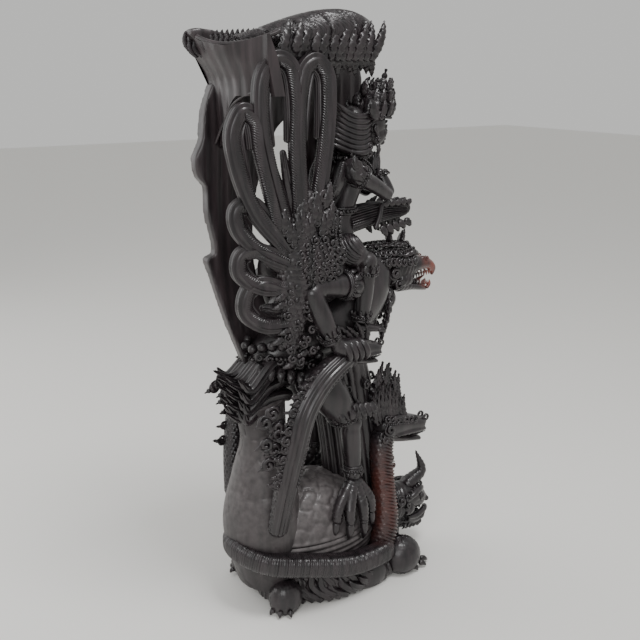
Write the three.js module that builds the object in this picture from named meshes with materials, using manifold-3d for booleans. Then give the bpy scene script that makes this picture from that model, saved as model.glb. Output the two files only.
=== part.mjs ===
// A bird mount with a crowned rider, two serpents and a horned turtle, carved from one block of
// ebony together with its base. Millimetres, +Z up. The figures face -Y, their right side is -X,
// and the flat underside is at z = 0.

import * as THREE from 'three';
import { mergeVertices } from 'three/addons/utils/BufferGeometryUtils.js';
import Module from 'manifold-3d';

const wasm = await Module();
wasm.setup();

// Driving dimensions
const height = 640;            // underside to the top of the hood
const baseHalfWidth = 62;      // plinth, side to side
const baseHalfDepth = 97;      // plinth, front to back
const wingSide = 46;           // centre plane of each wing from the middle of the carving
const loopThickness = 5.5;     // half thickness of a pierced wing feather
const panelThickness = 15;     // left wing panel
const serpentRadius = 12;
const beadRadius = 4.2;

const { lerp, smoothstep, degToRad } = THREE.MathUtils;
const vector = (p) => new THREE.Vector3(...p);

// A closed three.js geometry as a solid that can be joined and cut
function solid(geometry) {
  geometry.deleteAttribute('normal');
  geometry.deleteAttribute('uv');
  const merged = mergeVertices(geometry, 1e-3);
  const corners = merged.index.array;
  const triangles = [];
  for (let i = 0; i < corners.length; i += 3) {
    const [a, b, c] = corners.slice(i, i + 3);
    if (a !== b && b !== c && c !== a) triangles.push(a, b, c);
  }
  return new wasm.Manifold(new wasm.Mesh({
    numProp: 3,
    vertProperties: new Float32Array(merged.attributes.position.array),
    triVerts: new Uint32Array(triangles),
  }));
}

function join(solids) {
  let left = solids.flat(Infinity);
  while (left.length > 1) {
    const next = [];
    for (let i = 0; i < left.length; i += 2) {
      next.push(i + 1 < left.length ? left[i].add(left[i + 1]) : left[i]);
    }
    left = next;
  }
  return left[0];
}

// Moves each vertex of a geometry
function bend(geometry, place) {
  const position = geometry.attributes.position;
  for (let i = 0; i < position.count; i++) {
    const p = place(position.getX(i), position.getY(i), position.getZ(i));
    position.setXYZ(i, p.x, p.y, p.z);
  }
  return geometry;
}

// The pair of radii along a list, 0 at its start and 1 at its end
function along(values, t) {
  const list = Array.isArray(values) ? values : [values, values];
  const k = t * (list.length - 1);
  const i = Math.min(Math.floor(k), list.length - 2);
  const [a, b] = [list[i], list[i + 1]].map((v) => (Array.isArray(v) ? v : [v, v]));
  return [0, 1].map((n) => lerp(a[n], b[n], k - i));
}

// A tapering member along a smooth line. Each radius is one number, or a pair: across, in the plane
function limb(points, radii, sides = 4, steps = 2 * (points.length - 1), across = [1, 0, 0]) {
  const curve = new THREE.CatmullRomCurve3(points.map(vector), false, 'centripetal');
  return solid(bend(new THREE.CylinderGeometry(1, 1, 1, sides, steps), (x, y, z) => {
    const t = THREE.MathUtils.clamp(y + 0.5, 0, 1);
    const tangent = curve.getTangent(t);
    const side = vector(across).addScaledVector(tangent, -vector(across).dot(tangent)).normalize();
    const other = new THREE.Vector3().crossVectors(side, tangent);
    const [a, b] = along(radii, t);
    return curve.getPoint(t).addScaledVector(side, x * a).addScaledVector(other, z * b);
  }));
}

function ball([x, y, z], radii, around = 5, up = 3) {
  const [rx, ry, rz] = Array.isArray(radii) ? radii : [radii, radii, radii];
  const geometry = new THREE.SphereGeometry(1, around, up);
  geometry.rotateX(Math.PI / 2);
  return solid(geometry.scale(rx, ry, rz).translate(x, y, z));
}

// Beads in a row along a smooth line
function beads(points, count, radius = beadRadius) {
  const curve = new THREE.CatmullRomCurve3(points.map(vector), false, 'centripetal');
  return curve.getSpacedPoints(count - 1).map((p) => ball(p.toArray(), radius, 4, 3));
}

// A plate whose outline is drawn in the plane seen from the left side, y and z, then bent across
function plate(outline, opening, thickness, acrossAt) {
  const draw = (points, path) => {
    path.moveTo(...points[0]);
    path.splineThru([...points.slice(1), points[0]].map((p) => new THREE.Vector2(...p)));
    return path;
  };
  const shape = draw(outline, new THREE.Shape());
  shape.holes = [draw(opening, new THREE.Path())];
  const settings = { depth: thickness, bevelEnabled: false, curveSegments: 1 };
  const geometry = new THREE.ExtrudeGeometry(shape, settings);
  return solid(bend(geometry, (y, z, x) => new THREE.Vector3(acrossAt(y, z) + x - thickness / 2, y, z)));
}

const bothSides = (make) => [make(-1), make(1)];

// The turtle and the base

// The plinth is ringed by wavy locks of flame, tall at the back corners and low along the sides
function plinth() {
  const locks = 8;
  const profile = [[0, 0], [0.94, 0], [1, 0.45], [0.84, 1], [0, 0.9]];
  const turned = new THREE.LatheGeometry(profile.map((p) => new THREE.Vector2(...p)), 4 * locks);
  return solid(bend(turned, (x, share, z) => {
    const angle = Math.atan2(x, z);
    const tall = lerp(46, 92, smoothstep(Math.abs(angle), 1.5, 2.5));
    const ripple = share * Math.hypot(x, z) * Math.cos(locks * angle + 3 * share);
    return new THREE.Vector3(
      x * baseHalfWidth * (1 + 0.07 * ripple),
      -z * baseHalfDepth * (1 + 0.07 * ripple),
      share * tall * (1 + 0.3 * ripple),
    );
  }));
}

function shell() {
  const dome = ball([0, 30, 62], [60, 88, 76], 9, 6);
  const back = limb(
    [[0, 80, 20], [0, 86, 90], [0, 84, 150], [0, 83, 195], [0, 88, 240]],
    [[44, 34], [51, 44], [38, 35], [27, 26], [24, 30]],
    8,
    5,
  );
  return [dome, back];
}

function turtleFeet() {
  return bothSides((s) => [
    ball([s * 49, -76, 20], [21, 24, 23], 7, 4),
    ball([s * 47, 84, 16], [16, 19, 22], 5, 3),
    ball([s * 54, -26, 14], [13, 26, 20]),
  ]);
}

function turtleHead() {
  const skull = limb(
    [[0, -62, 50], [-1, -104, 62], [-2, -132, 62], [-2, -144, 54]],
    [[26, 22], [22, 24], [16, 17], [8, 8]],
    7,
    3,
  );
  const jaw = limb([[0, -92, 44], [-2, -136, 32]], [15, 8], 5, 1);
  const lips = ball([-2, -138, 41], [12, 8, 6]);
  const horn = limb([[-2, -118, 80], [-3, -136, 94], [-3, -128, 126]], [12, 8, 0.8], 5, 2);
  const brows = bothSides((s) => limb(
    [[s * 27, -88, 78], [s * 15, -122, 80], [s * 3, -144, 70]],
    [2, 7, 4],
    4,
    2,
  ));
  return [skull, jaw, lips, horn, brows];
}

// The serpents

// A serpent's head from its nape to its nose: skull, open jaws, a curled nose and a leafy crest
function serpentHead(nape, nose, size, crest) {
  const from = vector(nape);
  const way = vector(nose).sub(from);
  const at = (share, up) => from.clone().addScaledVector(way, share).add(vector([0, 0, up])).toArray();
  return [
    limb([at(-0.1, 0), at(0.3, 2), at(0.75, 1), at(1, 0)], [1, 1.15, 0.9, 0.62].map((r) => r * size), 5, 3),
    limb([at(0.1, -size * 0.9), at(0.9, -size * 1.65)], [size * 0.55, size * 0.25], 4, 1),
    limb([at(0.85, size * 0.5), at(0.75, size * 1.25), at(0.5, size * 1.1)], size * 0.38, 4, 2),
    crest.map(([share, lean, tall]) => limb(
      [at(share, size * 0.5), at(share - 0.18, size + tall * 0.35), at(lean, size + tall)],
      [[size * 0.4, size * 0.75], [size * 0.35, size * 0.6], [0.8, 0.8]],
      4,
      2,
    )),
  ];
}

// The serpent held at the side, its body running down behind the leg to the foot
function sideSerpent(s) {
  const spine = [[48, -2, 292], [57, 22, 284], [62, 50, 268], [64, 72, 240], [63, 88, 180], [50, 98, 90]];
  const neck = limb(spine.map(([x, y, z]) => [s * x, y, z]), [12, 13, 14, 13, 12, 10], 5, 5);
  const crest = [[0.1, -0.35, 14], [-0.2, -0.8, 10]];
  const head = serpentHead([s * 51, 0, 294], [s * 46, -38, 290], 11, crest);
  const edge = [[s * 63, 54, 244], [s * 66, 66, 214], [s * 66, 78, 176], [s * 62, 84, 140]];
  const leaves = s < 0 ? [[74, 256, 0], [90, 220, 1]] : [];
  const fringe = leaves.map(([y, z, n]) => limb(
    [[s * 60, y - 6, z], [s * 62, y + 16, z - 6], [s * 60, y + 26, z + 4 - 5 * n]],
    [[9, 12], [8, 10], [2, 3]],
  ));
  return [neck, head, s < 0 ? beads(edge, 5, 7) : [], fringe];
}

// The serpent that winds round the foot of the shell and rears up in front
function frontSerpent() {
  const coil = limb(
    [
      [46, 72, 60], [22, 114, 68], [-12, 124, 72], [-48, 106, 66], [-66, 62, 58], [-68, 10, 44],
      [-58, -40, 40],
    ],
    serpentRadius,
    5,
    7,
    [0, 0, 1],
  );
  const neck = limb(
    [[-44, -50, 34], [-38, -60, 84], [-27, -60, 130], [-19, -70, 168], [-16, -92, 180]],
    [15, 14, 13, 15, 14],
    6,
    4,
  );
  const crest = [[0.1, 0.05, 64], [-0.15, -0.25, 66], [0.35, 0.3, 52]];
  const head = serpentHead([-17, -88, 178], [-14, -132, 171], 15, crest);
  return [coil, neck, head];
}

// The bird mount

function birdBody() {
  const trunk = limb(
    [[0, 90, 282], [0, 58, 294], [0, 18, 306], [0, -20, 326], [0, -44, 352], [0, -62, 392]],
    [[20, 18], [30, 27], [36, 34], [38, 38], [36, 36], [22, 22]],
    7,
    5,
  );
  const drape = limb([[2, -2, 300], [2, -28, 200], [-2, -42, 96]], [[28, 38], [20, 40], [22, 42]], 6, 2);
  const chest = limb([[0, -62, 372], [0, -73, 330], [0, -54, 290]], [[14, 9], [17, 13], [10, 9]], 5, 2);
  const sides = bothSides((s) => [
    beads([[s * 24, 80, 300], [s * 34, 52, 292]], 2, 11),
    ball([s * 32, 30, 376], [16, 40, 34], 6, 3),
  ]);
  return [trunk, drape, chest, sides];
}

function birdHead() {
  const skull = ball([0, -98, 364], [19, 26, 23], 7, 4);
  const beak = limb([[0, -104, 364], [0, -128, 367], [0, -146, 361], [0, -147, 350]], [15, 11, 7, 1.5], 6, 3);
  const jaw = limb([[0, -90, 346], [0, -116, 341], [0, -139, 331]], [[15, 12], [11, 7], [2.5, 3]], 5, 2);
  const brows = bothSides((s) => limb(
    [[s * 17, -92, 380], [s * 13, -112, 386], [s * 5, -126, 376]],
    [6, 6, 3],
    4,
    2,
  ));
  const crest = [-45, 45].map((degrees) => [-60, -84].map((y) => ball(
    [Math.sin(degToRad(degrees)) * 22, y, 377 + Math.cos(degToRad(degrees)) * 22],
    [14, 14, 13],
  )));
  const jewel = limb([[0, -98, 384], [0, -110, 404]], [9, 1.5], 4, 1);
  return [skull, beak, jaw, brows, crest, jewel];
}

function birdArm(s) {
  const upper = limb([[s * 36, -16, 362], [s * 48, 16, 368], [s * 52, 54, 371]], [14, 12, 8], 6, 2);
  const lower = limb([[s * 52, 54, 373], [s * 55, 40, 336], [s * 57, 24, 302]], [10, 11, 8], 6, 2);
  const fist = limb([[s * 57, 30, 302], [s * 60, -14, 304]], [[10, 9], [7, 8]], 5, 1);
  return [upper, lower, fist];
}

function birdLeg(s) {
  const ankle = [s * 42, -9, 134];
  const thigh = limb([[s * 20, 44, 276], [s * 37, 22, 244], [s * 41, -4, 206]], [26, 22, 13], 6, 2);
  const shin = limb([[s * 41, -5, 210], [s * 41, -9, 168], ankle], [13, 10.5, 8], 6, 2);
  const toes = [
    [[52, 16, 112], [56, 26, 88]],
    [[56, -4, 108], [60, -2, 72]],
    [[46, -24, 108], [48, -32, 74]],
  ];
  const talons = toes.map(([knuckle, tip]) => limb(
    [ankle, [s * knuckle[0], knuckle[1], knuckle[2]], [s * tip[0], tip[1], tip[2]]],
    [7, 7, 2.5],
    4,
    2,
  ));
  return [thigh, shin, talons];
}

// Long ridged tail feathers that spread from the rump, one row under another
function tail() {
  const rows = [[4, 136, 266], [3, 134, 244]];
  return rows.map(([count, reach, tipZ], row) => Array.from({ length: count }, (_, i) => {
    const spread = (2 * i) / (count - 1) - 1;
    const x = spread * (28 - 5 * row);
    return limb(
      [[x * 0.6, 54, 282 - 12 * row], [x * 0.9, 96, 268 - 13 * row], [x, reach - 14 * spread * spread, tipZ]],
      [[10, 11], [9, 9], [2, 2.5]],
      4,
      2,
    );
  }));
}

// The pierced right wing: six long feathers, each a loop that leaves the shoulder and returns to it.
// A line runs up the back of its loop, over the arch and down the front
const rightWingLoops = [
  [[60, 440], [64, 510], [58, 574], [41, 589], [30, 566], [48, 440]],
  [[76, 424], [99, 516], [99, 574], [80, 592], [68, 578], [66, 440]],
  [[74, 408], [116, 456], [131, 516], [117, 548], [106, 512], [80, 420]],
  [[74, 396], [114, 418], [129, 446], [114, 456], [76, 408]],
  [[70, 372], [110, 380], [125, 400], [112, 412], [76, 396]],
  [[70, 334], [106, 339], [120, 358], [106, 378], [74, 362]],
];

function rightWing() {
  const loops = rightWingLoops.map((line) => limb(
    line.map(([y, z], i) => [-wingSide - 3 * Math.cos((i / (line.length - 1)) * 2 * Math.PI), y, z]),
    [[loopThickness, 8.5], [loopThickness, 6.5], [loopThickness, 8.5]],
    4,
    line.length - 1,
  ));
  const root = limb(
    [[-wingSide, 52, 452], [-wingSide, 60, 400], [-wingSide, 68, 356], [-wingSide, 74, 312]],
    [[8, 18], [11, 24], [9, 17], [8, 12]],
    4,
    3,
  );
  return [loops, root];
}

// Leaf curls, a rosette and a bead string where the wing meets the shoulder
function wingRoot() {
  const curls = [[48, 446, 15], [72, 332, 12]];
  return [
    curls.map(([y, z, r]) => ball([-wingSide - 5, y, z], [8, r * 0.8, r])),
    ball([-wingSide - 6, 44, 396], [11, 24, 24], 7, 3),
  ];
}

// Where the middle of the left wing's panel stands, side to side
const leftPanelAcross = (y, z) => lerp(14, wingSide, smoothstep(z, 240, 390)) - 9 * smoothstep(y, 70, 130);

// The left wing: one tall panel, smooth inside, that rises from the tail and opens in the middle
function leftWing() {
  const outline = [
    [86, 244], [106, 306], [125, 384], [120, 394], [126, 440], [126, 474], [135, 494], [127, 516], [118, 560],
    [110, 580], [120, 598], [134, 619], [84, 617], [30, 622], [-40, 604], [-70, 582], [-50, 492], [-20, 390],
    [20, 310],
  ];
  const opening = [[58, 318], [70, 380], [69, 440], [58, 484], [36, 528], [-4, 552], [16, 470], [30, 370]];
  return plate(outline, opening, panelThickness, leftPanelAcross);
}

// Overlapping feathers laid along the outer face of the left wing
function leftWingFeathers() {
  const rear = [[88, 340], [98, 420], [96, 500]].map((p) => [p, [20, 48]]);
  const front = [[-12, 424], [-36, 520]].map((p) => [p, [4, 52]]);
  const onPanel = (y, z, lift) => [leftPanelAcross(y, z) + lift, y, z];
  return [...rear, ...front].map(([[y, z], [dy, dz]]) => limb(
    [onPanel(y - dy * 0.6, z - dz, 0), onPanel(y, z, 6), onPanel(y + dy, z + dz * 0.8, 5)],
    [[6, 13], [8, 12], [3, 3]],
    4,
    2,
  ));
}

// The hood that joins both wings over the rider and curls forward to a rounded nose
function hood() {
  const crest = limb(
    [
      [42, 134, 616], [26, 108, 608], [4, 76, 610], [-8, 42, 616], [-8, 8, 619], [-3, -22, 619],
      [-2, -40, 616],
    ],
    [[6, 3], [20, 9], [30, 14], [30, 19], [30, 22], [24, 21], [12, 11]],
    7,
    7,
  );
  const wall = solid(bend(new THREE.BoxGeometry(1, 1, 1, 4, 3, 1), (u, v, w) => {
    const x = lerp(2 - wingSide, 34, u + 0.5);
    const arch = lerp(560, 506, smoothstep(x, -10, 34));
    const z = lerp(arch, 612, v + 0.5);
    const flare = 16 * smoothstep(z, 570, 616) * smoothstep(x, -46, 10);
    return new THREE.Vector3(x, 101 + 0.2 * (x + 40) + flare - 14 * w, z);
  }));
  const leaves = [0, 1].map((i) => limb(
    [[-10 + 14 * i, -8 - 12 * i, 606], [-10 + 14 * i, 2 - 18 * i, 580 + 6 * i]],
    [13, 2],
    4,
    1,
  ));
  return [crest, wall, leaves];
}

// The rider

function riderBody() {
  return [
    limb(
      [[0, -12, 400], [0, -14, 430], [0, -22, 458], [0, -34, 484], [0, -42, 492]],
      [[26, 24], [19, 16], [20, 16], [25, 16], [12, 11]],
      7,
      4,
    ),
    limb([[0, -40, 488], [0, -50, 514]], 9, 5, 1),
  ];
}

// An oval head with plain even features: the nose ends a third of the way down to the chin
function riderHead() {
  const centre = [0, -58, 524];
  const [halfWidth, halfDepth, halfHeight] = [14, 17, 20];
  const face = centre[1] - halfDepth;
  return [
    ball(centre, [halfWidth, halfDepth, halfHeight], 8, 6),
    limb([[0, face + 1, 527], [0, face - 3.5, 517]], [2, 3.4], 4, 1),
    bothSides((s) => ball([s * 15, -52, 522], [3.5, 6, 10], 4, 3)),
  ];
}

function crown() {
  const cap = limb([[0, -56, 530], [0, -60, 548], [0, -68, 562], [0, -74, 583]], [19, 17, 8, 0.8], 7, 4);
  const band = [-112, -56, 0, 56, 112].map((degrees) => {
    const [side, front] = [Math.sin(degToRad(degrees)), -Math.cos(degToRad(degrees))];
    const foot = [side * 15, -58 + front * 18, 536];
    const tip = [side * 19, -64 + front * 19, 556];
    return limb([foot, tip], [[8, 6], [1, 1]], 4, 1);
  });
  return [cap, band, ball([0, -80, 536], [6, 6, 7])];
}

// Hair swept back in waves over the nape, with curls below it
function hair() {
  const knot = limb([[0, -44, 538], [0, -24, 528], [0, -24, 500]], [17, 17, 12], 6, 3);
  const sides = bothSides((s) => [
    limb([[s * 12, -46, 532], [s * 18, -28, 524], [s * 10, -7, 538]], [9, 11, 2], 4, 2),
    ball([s * 14, -34, 502], [10, 13, 10], 5, 3),
  ]);
  return [knot, sides];
}

function riderArm(s) {
  return [
    limb(
      [[s * 20, -16, 490], [s * 29, -16, 480], [s * 25, -42, 466], [s * 17, -71, 449]],
      [9, 12, 9, 7],
      6,
      3,
    ),
    limb([[s * 18, -70, 450], [s * 7, -58, 484]], 7, 5, 1),
  ];
}

// A pleated cloth drawn forward from the waist over the bird's neck, with a rolled hem across it
function cloth() {
  const fill = limb([[0, -16, 420], [0, -60, 428], [0, -107, 430]], [[20, 16], [17, 13], [5, 5]], 6, 2);
  const sides = bothSides((s) => [
    limb([[s * 18, -20, 436], [s * 14, -62, 434], [s * 3, -102, 431]], [8, 7, 3], 4, 2),
    limb([[s * 21, -52, 416], [s * 13, -68, 445]], 3, 4, 1),
  ]);
  return [fill, sides];
}

function sash() {
  return bothSides((s) => limb(
    [[s * 27, -10, 488], [s * 22, -2, 462], [s * 8, 4, 442]],
    [[4, 8], [4, 8], [4, 6]],
    4,
    2,
    [1, 0.4, 0],
  ));
}

function riderLeg(s) {
  const thigh = limb([[s * 14, -6, 404], [s * 32, -6, 398], [s * 43, -22, 385]], [17, 16, 13], 6, 2);
  const shin = limb([[s * 42, -23, 388], [s * 43, -16, 322]], [13, 8], 6, 1);
  const foot = limb([[s * 43, -6, 318], [s * 44, -42, 311]], [[8, 8], [6, 4]], 5, 1);
  return [thigh, shin, foot];
}

function carve() {
  const whole = join([
    plinth(), shell(), turtleFeet(), turtleHead(),
    sideSerpent(-1), sideSerpent(1), frontSerpent(),
    birdBody(), birdHead(), bothSides(birdArm), bothSides(birdLeg), tail(),
    rightWing(), wingRoot(), leftWing(), leftWingFeathers(), hood(),
    riderBody(), riderHead(), crown(), hair(), bothSides(riderArm), cloth(), sash(), bothSides(riderLeg),
  ]);
  const below = solid(new THREE.BoxGeometry(600, 600, 200).translate(0, 0, -100));
  return whole.subtract(below);
}

// The carving at its full height, with the middle of its plan on the origin
function placed(carved) {
  const { vertProperties, triVerts } = carved.getMesh();
  const geometry = new THREE.BufferGeometry();
  geometry.setAttribute('position', new THREE.Float32BufferAttribute(vertProperties, 3));
  geometry.setIndex([...triVerts]);
  geometry.computeBoundingBox();
  const middle = geometry.boundingBox.getCenter(new THREE.Vector3());
  const size = height / geometry.boundingBox.max.z;
  geometry.translate(-middle.x, -middle.y, 0);
  geometry.scale(size, size, size);
  geometry.computeVertexNormals();
  return geometry;
}

const ebony = new THREE.MeshStandardMaterial({ color: 0x1d1618, roughness: 0.38, metalness: 0 });
const carving = new THREE.Mesh(placed(carve()), ebony);
carving.name = 'carving';

const group = new THREE.Group();
group.add(carving);

export default group;
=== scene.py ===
import math

import bpy
import numpy as np
from mathutils import Euler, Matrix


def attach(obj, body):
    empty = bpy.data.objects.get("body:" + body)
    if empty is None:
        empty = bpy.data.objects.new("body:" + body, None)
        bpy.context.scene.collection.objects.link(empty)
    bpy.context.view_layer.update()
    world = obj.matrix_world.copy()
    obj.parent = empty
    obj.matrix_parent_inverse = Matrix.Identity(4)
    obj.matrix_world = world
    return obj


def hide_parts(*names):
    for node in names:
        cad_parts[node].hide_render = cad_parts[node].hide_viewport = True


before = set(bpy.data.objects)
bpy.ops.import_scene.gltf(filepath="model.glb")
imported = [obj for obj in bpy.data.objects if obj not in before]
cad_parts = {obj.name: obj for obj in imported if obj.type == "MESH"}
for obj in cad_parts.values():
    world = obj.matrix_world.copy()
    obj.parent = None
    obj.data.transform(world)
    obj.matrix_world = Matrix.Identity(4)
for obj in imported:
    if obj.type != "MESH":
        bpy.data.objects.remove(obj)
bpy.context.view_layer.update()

# The carving is laid out in the maker's millimetres: the figures face -Y and their right side is -X.
# The solid's plan is then centred and grown to its full height, so the same is done here
planMiddle = np.array([-0.85, -6.51, 0.0])
growth = 1.00166
rng = np.random.default_rng(7)


def toRow(points):
    return (np.asarray(points, float) - planMiddle) * growth * 0.001


# Shells: a shell is its points and its blocks of faces

def smoothLine(rows, step):
    # evenly spaced rows along a smooth line; columns after the third ride along with the points
    rows = np.array(rows, float)
    ends = np.vstack([2 * rows[0] - rows[1], rows, 2 * rows[-1] - rows[-2]])
    gaps = np.sqrt(np.linalg.norm(np.diff(ends[:, :3], axis=0), axis=1)) + 1e-6
    knots = np.concatenate([[0], np.cumsum(gaps)])
    dense = []
    for i in range(1, len(rows)):
        t = np.linspace(knots[i], knots[i + 1], 17)[:-1, None]
        a = [((knots[k + 1] - t) * ends[k] + (t - knots[k]) * ends[k + 1]) / gaps[k] for k in (i - 1, i, i + 1)]
        b = [((knots[k + 2] - t) * a[n] + (t - knots[k]) * a[n + 1]) / (knots[k + 2] - knots[k])
             for n, k in enumerate((i - 1, i))]
        dense.append(((knots[i + 1] - t) * b[0] + (t - knots[i]) * b[1]) / gaps[i])
    dense = np.vstack(dense + [rows[-1:]])
    length = np.concatenate([[0], np.cumsum(np.linalg.norm(np.diff(dense[:, :3], axis=0), axis=1))])
    s = np.linspace(0, length[-1], max(3, int(round(length[-1] / step)) + 1))
    return np.column_stack([np.interp(s, length, column) for column in dense.T]), s


def spread(radii, count):
    # pairs of radii, one for each point of the line
    pairs = np.array([r if isinstance(r, tuple) else (r, r) for r in (radii if isinstance(radii, list) else [radii])], float)
    share = np.linspace(0, len(pairs) - 1, count)
    return np.column_stack([np.interp(share, np.arange(len(pairs)), column) for column in pairs.T])


def ringShell(grid, first, last):
    # a closed shell from rings of points and a pole at each end
    rings, around = grid.shape[:2]
    points = np.vstack([grid.reshape(-1, 3), first, last])
    i, j = np.meshgrid(np.arange(rings - 1), np.arange(around), indexing="ij")
    k = (j + 1) % around
    quads = np.stack([i * around + j, (i + 1) * around + j, (i + 1) * around + k, i * around + k], -1).reshape(-1, 4)
    j = np.arange(around)
    k = (j + 1) % around
    start, end, top = rings * around, rings * around + 1, (rings - 1) * around
    fans = np.vstack([np.stack([np.full(around, start), j, k], -1), np.stack([np.full(around, end), top + k, top + j], -1)])
    return points, [quads, fans]


def tube(points, radii, around=20, step=1.8, across=(1, 0, 0), relief=None, square=1.0, cap=None):
    # a tapering member; each radius is one number or a pair: across, in the plane. relief(s, angle, share) lifts it
    even, s = smoothLine(np.column_stack([np.array(points, float), spread(radii, len(points))]), step)
    centre, size = even[:, :3], np.maximum(even[:, 3:5], 0.25)
    tangent = np.gradient(centre, axis=0)
    tangent /= np.linalg.norm(tangent, axis=1)[:, None]
    side = np.array(across, float) - (tangent @ np.array(across, float))[:, None] * tangent
    side /= np.linalg.norm(side, axis=1)[:, None]
    other = np.cross(side, tangent)
    reach = [cap or size[k].min() * 0.9 for k in (0, -1)]
    inward = np.minimum(np.minimum(s / reach[0], (s[-1] - s) / reach[1]), 1)
    closing = np.sqrt(np.maximum(1 - (1 - inward) ** 2, 0.02))[:, None]
    angle = np.linspace(0, 2 * math.pi, around, endpoint=False)[None, :]
    c, d = [np.sign(f) * np.abs(f) ** square for f in (np.cos(angle), np.sin(angle))]
    lift = relief(s[:, None], angle, (s / s[-1])[:, None]) * closing if relief else 0
    grid = (centre[:, None] + ((size[:, :1] * closing + lift) * c)[..., None] * side[:, None]
            + ((size[:, 1:] * closing + lift) * d)[..., None] * other[:, None])
    return ringShell(grid, centre[0], centre[-1])


def ball(centre, size, around=16, up=10, relief=None, turn=(0, 0, 0)):
    size = np.array(size if np.ndim(size) else [size] * 3, float)
    polar = np.linspace(0, math.pi, up + 2)[1:-1, None]
    angle = np.linspace(0, 2 * math.pi, around, endpoint=False)[None, :]
    way = np.stack([np.sin(polar) * np.cos(angle), -np.sin(polar) * np.sin(angle), -np.cos(polar) + 0 * angle], -1)
    out = way / size
    out /= np.linalg.norm(out, axis=-1)[..., None]
    grid = way * size
    if relief:
        grid = grid + out * relief(way)[..., None]
    matrix = np.array(Euler([math.radians(a) for a in turn]).to_matrix())
    poles = np.array([[0, 0, -size[2]], [0, 0, size[2]]]) @ matrix.T + np.array(centre)
    return ringShell(grid @ matrix.T + np.array(centre), poles[0], poles[1])


def flat(shells):
    # one list of shells out of lists within lists
    if isinstance(shells, tuple):
        return [shells]
    return [shell for group in shells for shell in flat(group)]


def bothSides(make):
    return [make(-1), make(1)]


def fill(name, points, faces):
    mesh = bpy.data.meshes.new(name)
    mesh.vertices.add(len(points))
    mesh.vertices.foreach_set("co", np.ascontiguousarray(points, np.float32).ravel())
    sizes = np.concatenate([np.full(len(block), block.shape[1]) for block in faces])
    corners = np.concatenate([block.ravel() for block in faces])
    mesh.loops.add(len(corners))
    mesh.loops.foreach_set("vertex_index", corners.astype(np.int32))
    mesh.polygons.add(len(sizes))
    mesh.polygons.foreach_set("loop_start", np.concatenate([[0], np.cumsum(sizes)[:-1]]).astype(np.int32))
    mesh.update(calc_edges=True)
    return mesh


def meshOf(name, shells):
    points, faces, start = [], [], 0
    for shellPoints, blocks in flat(shells):
        points.append(shellPoints)
        faces += [block + start for block in blocks]
        start += len(shellPoints)
    points = toRow(np.vstack(points))
    points[:, 2] = np.maximum(points[:, 2], 0)     # the underside is cut flat
    return fill(name, points, faces)


meshBudget = {"kept": 0.5, "smallest": 70000}


def thinned(name, mesh):
    # the flatter faces of a heavy mesh are merged, so that the whole carving stays under a million triangles
    if sum(len(face.vertices) - 2 for face in mesh.polygons) < meshBudget["smallest"]:
        return mesh
    thing = bpy.data.objects.new("thin", mesh)
    bpy.context.collection.objects.link(thing)
    merge = thing.modifiers.new("merge", "DECIMATE")
    merge.ratio = meshBudget["kept"]
    light = bpy.data.meshes.new_from_object(thing.evaluated_get(bpy.context.evaluated_depsgraph_get()))
    bpy.data.objects.remove(thing)
    bpy.data.meshes.remove(mesh)
    light.name = name
    return light


def piece(name, mesh, material, sharp=48):
    mesh = thinned(name, mesh)
    mesh.materials.clear()
    mesh.materials.append(material)
    mesh.shade_smooth()
    mesh.set_sharp_from_angle(angle=math.radians(sharp))
    thing = bpy.data.objects.new(name, mesh)
    bpy.context.collection.objects.link(thing)
    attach(thing, "root")
    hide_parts("carving")
    print(name, sum(len(face.vertices) - 2 for face in mesh.polygons), "triangles")
    return thing


def fused(shells, voxel, rounds=3, relief=None):
    # shells melted into one skin, as if cut from the solid, returned as a shell; relief(points, normals) in mm
    mesh = meshOf("melt", shells)
    thing = bpy.data.objects.new("melt", mesh)
    bpy.context.collection.objects.link(thing)
    remesh = thing.modifiers.new("melt", "REMESH")
    remesh.mode = "VOXEL"
    remesh.voxel_size = voxel * 0.001
    soft = thing.modifiers.new("soft", "SMOOTH")
    soft.factor = 0.5
    soft.iterations = rounds
    melted = bpy.data.meshes.new_from_object(thing.evaluated_get(bpy.context.evaluated_depsgraph_get()))
    points = np.empty(len(melted.vertices) * 3, np.float32)
    melted.vertices.foreach_get("co", points)
    normals = np.empty(len(melted.vertices) * 3, np.float32)
    melted.vertex_normals.foreach_get("vector", normals)
    corners = np.empty(len(melted.loops), np.int32)
    melted.loops.foreach_get("vertex_index", corners)
    starts = np.empty(len(melted.polygons), np.int32)
    melted.polygons.foreach_get("loop_start", starts)
    sizes = np.diff(np.append(starts, len(corners)))
    blocks = [corners[starts[sizes == n][:, None] + np.arange(n)] for n in np.unique(sizes)]
    bpy.data.objects.remove(thing)
    bpy.data.meshes.remove(mesh)
    bpy.data.meshes.remove(melted)
    points = points.reshape(-1, 3).astype(float) / (growth * 0.001) + planMiddle
    if relief:
        normals = normals.reshape(-1, 3).astype(float)
        points = points + normals * relief(points, normals)[:, None]
    return points, blocks


# Cuts: each gives a lift in millimetres for tube() along s, round angle a

def mix(a, b, t):
    return a + (b - a) * t


def step01(low, high, value):
    t = np.clip((value - low) / (high - low), 0, 1)
    return t * t * (3 - 2 * t)


def grooves(count, depth, power=2):
    return lambda s, a, t: -depth * (1 - np.abs(np.sin(a * count / 2))) ** power + 0 * s


def ribs(pitch, depth, slant=0.0, turn=0.0):
    return lambda s, a, t: depth * (np.abs(np.sin(math.pi * (s + slant * np.sin(a + turn)) / pitch)) - 0.5)


def both(*cuts):
    return lambda s, a, t: sum(cut(s, a, t) for cut in cuts)


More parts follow.
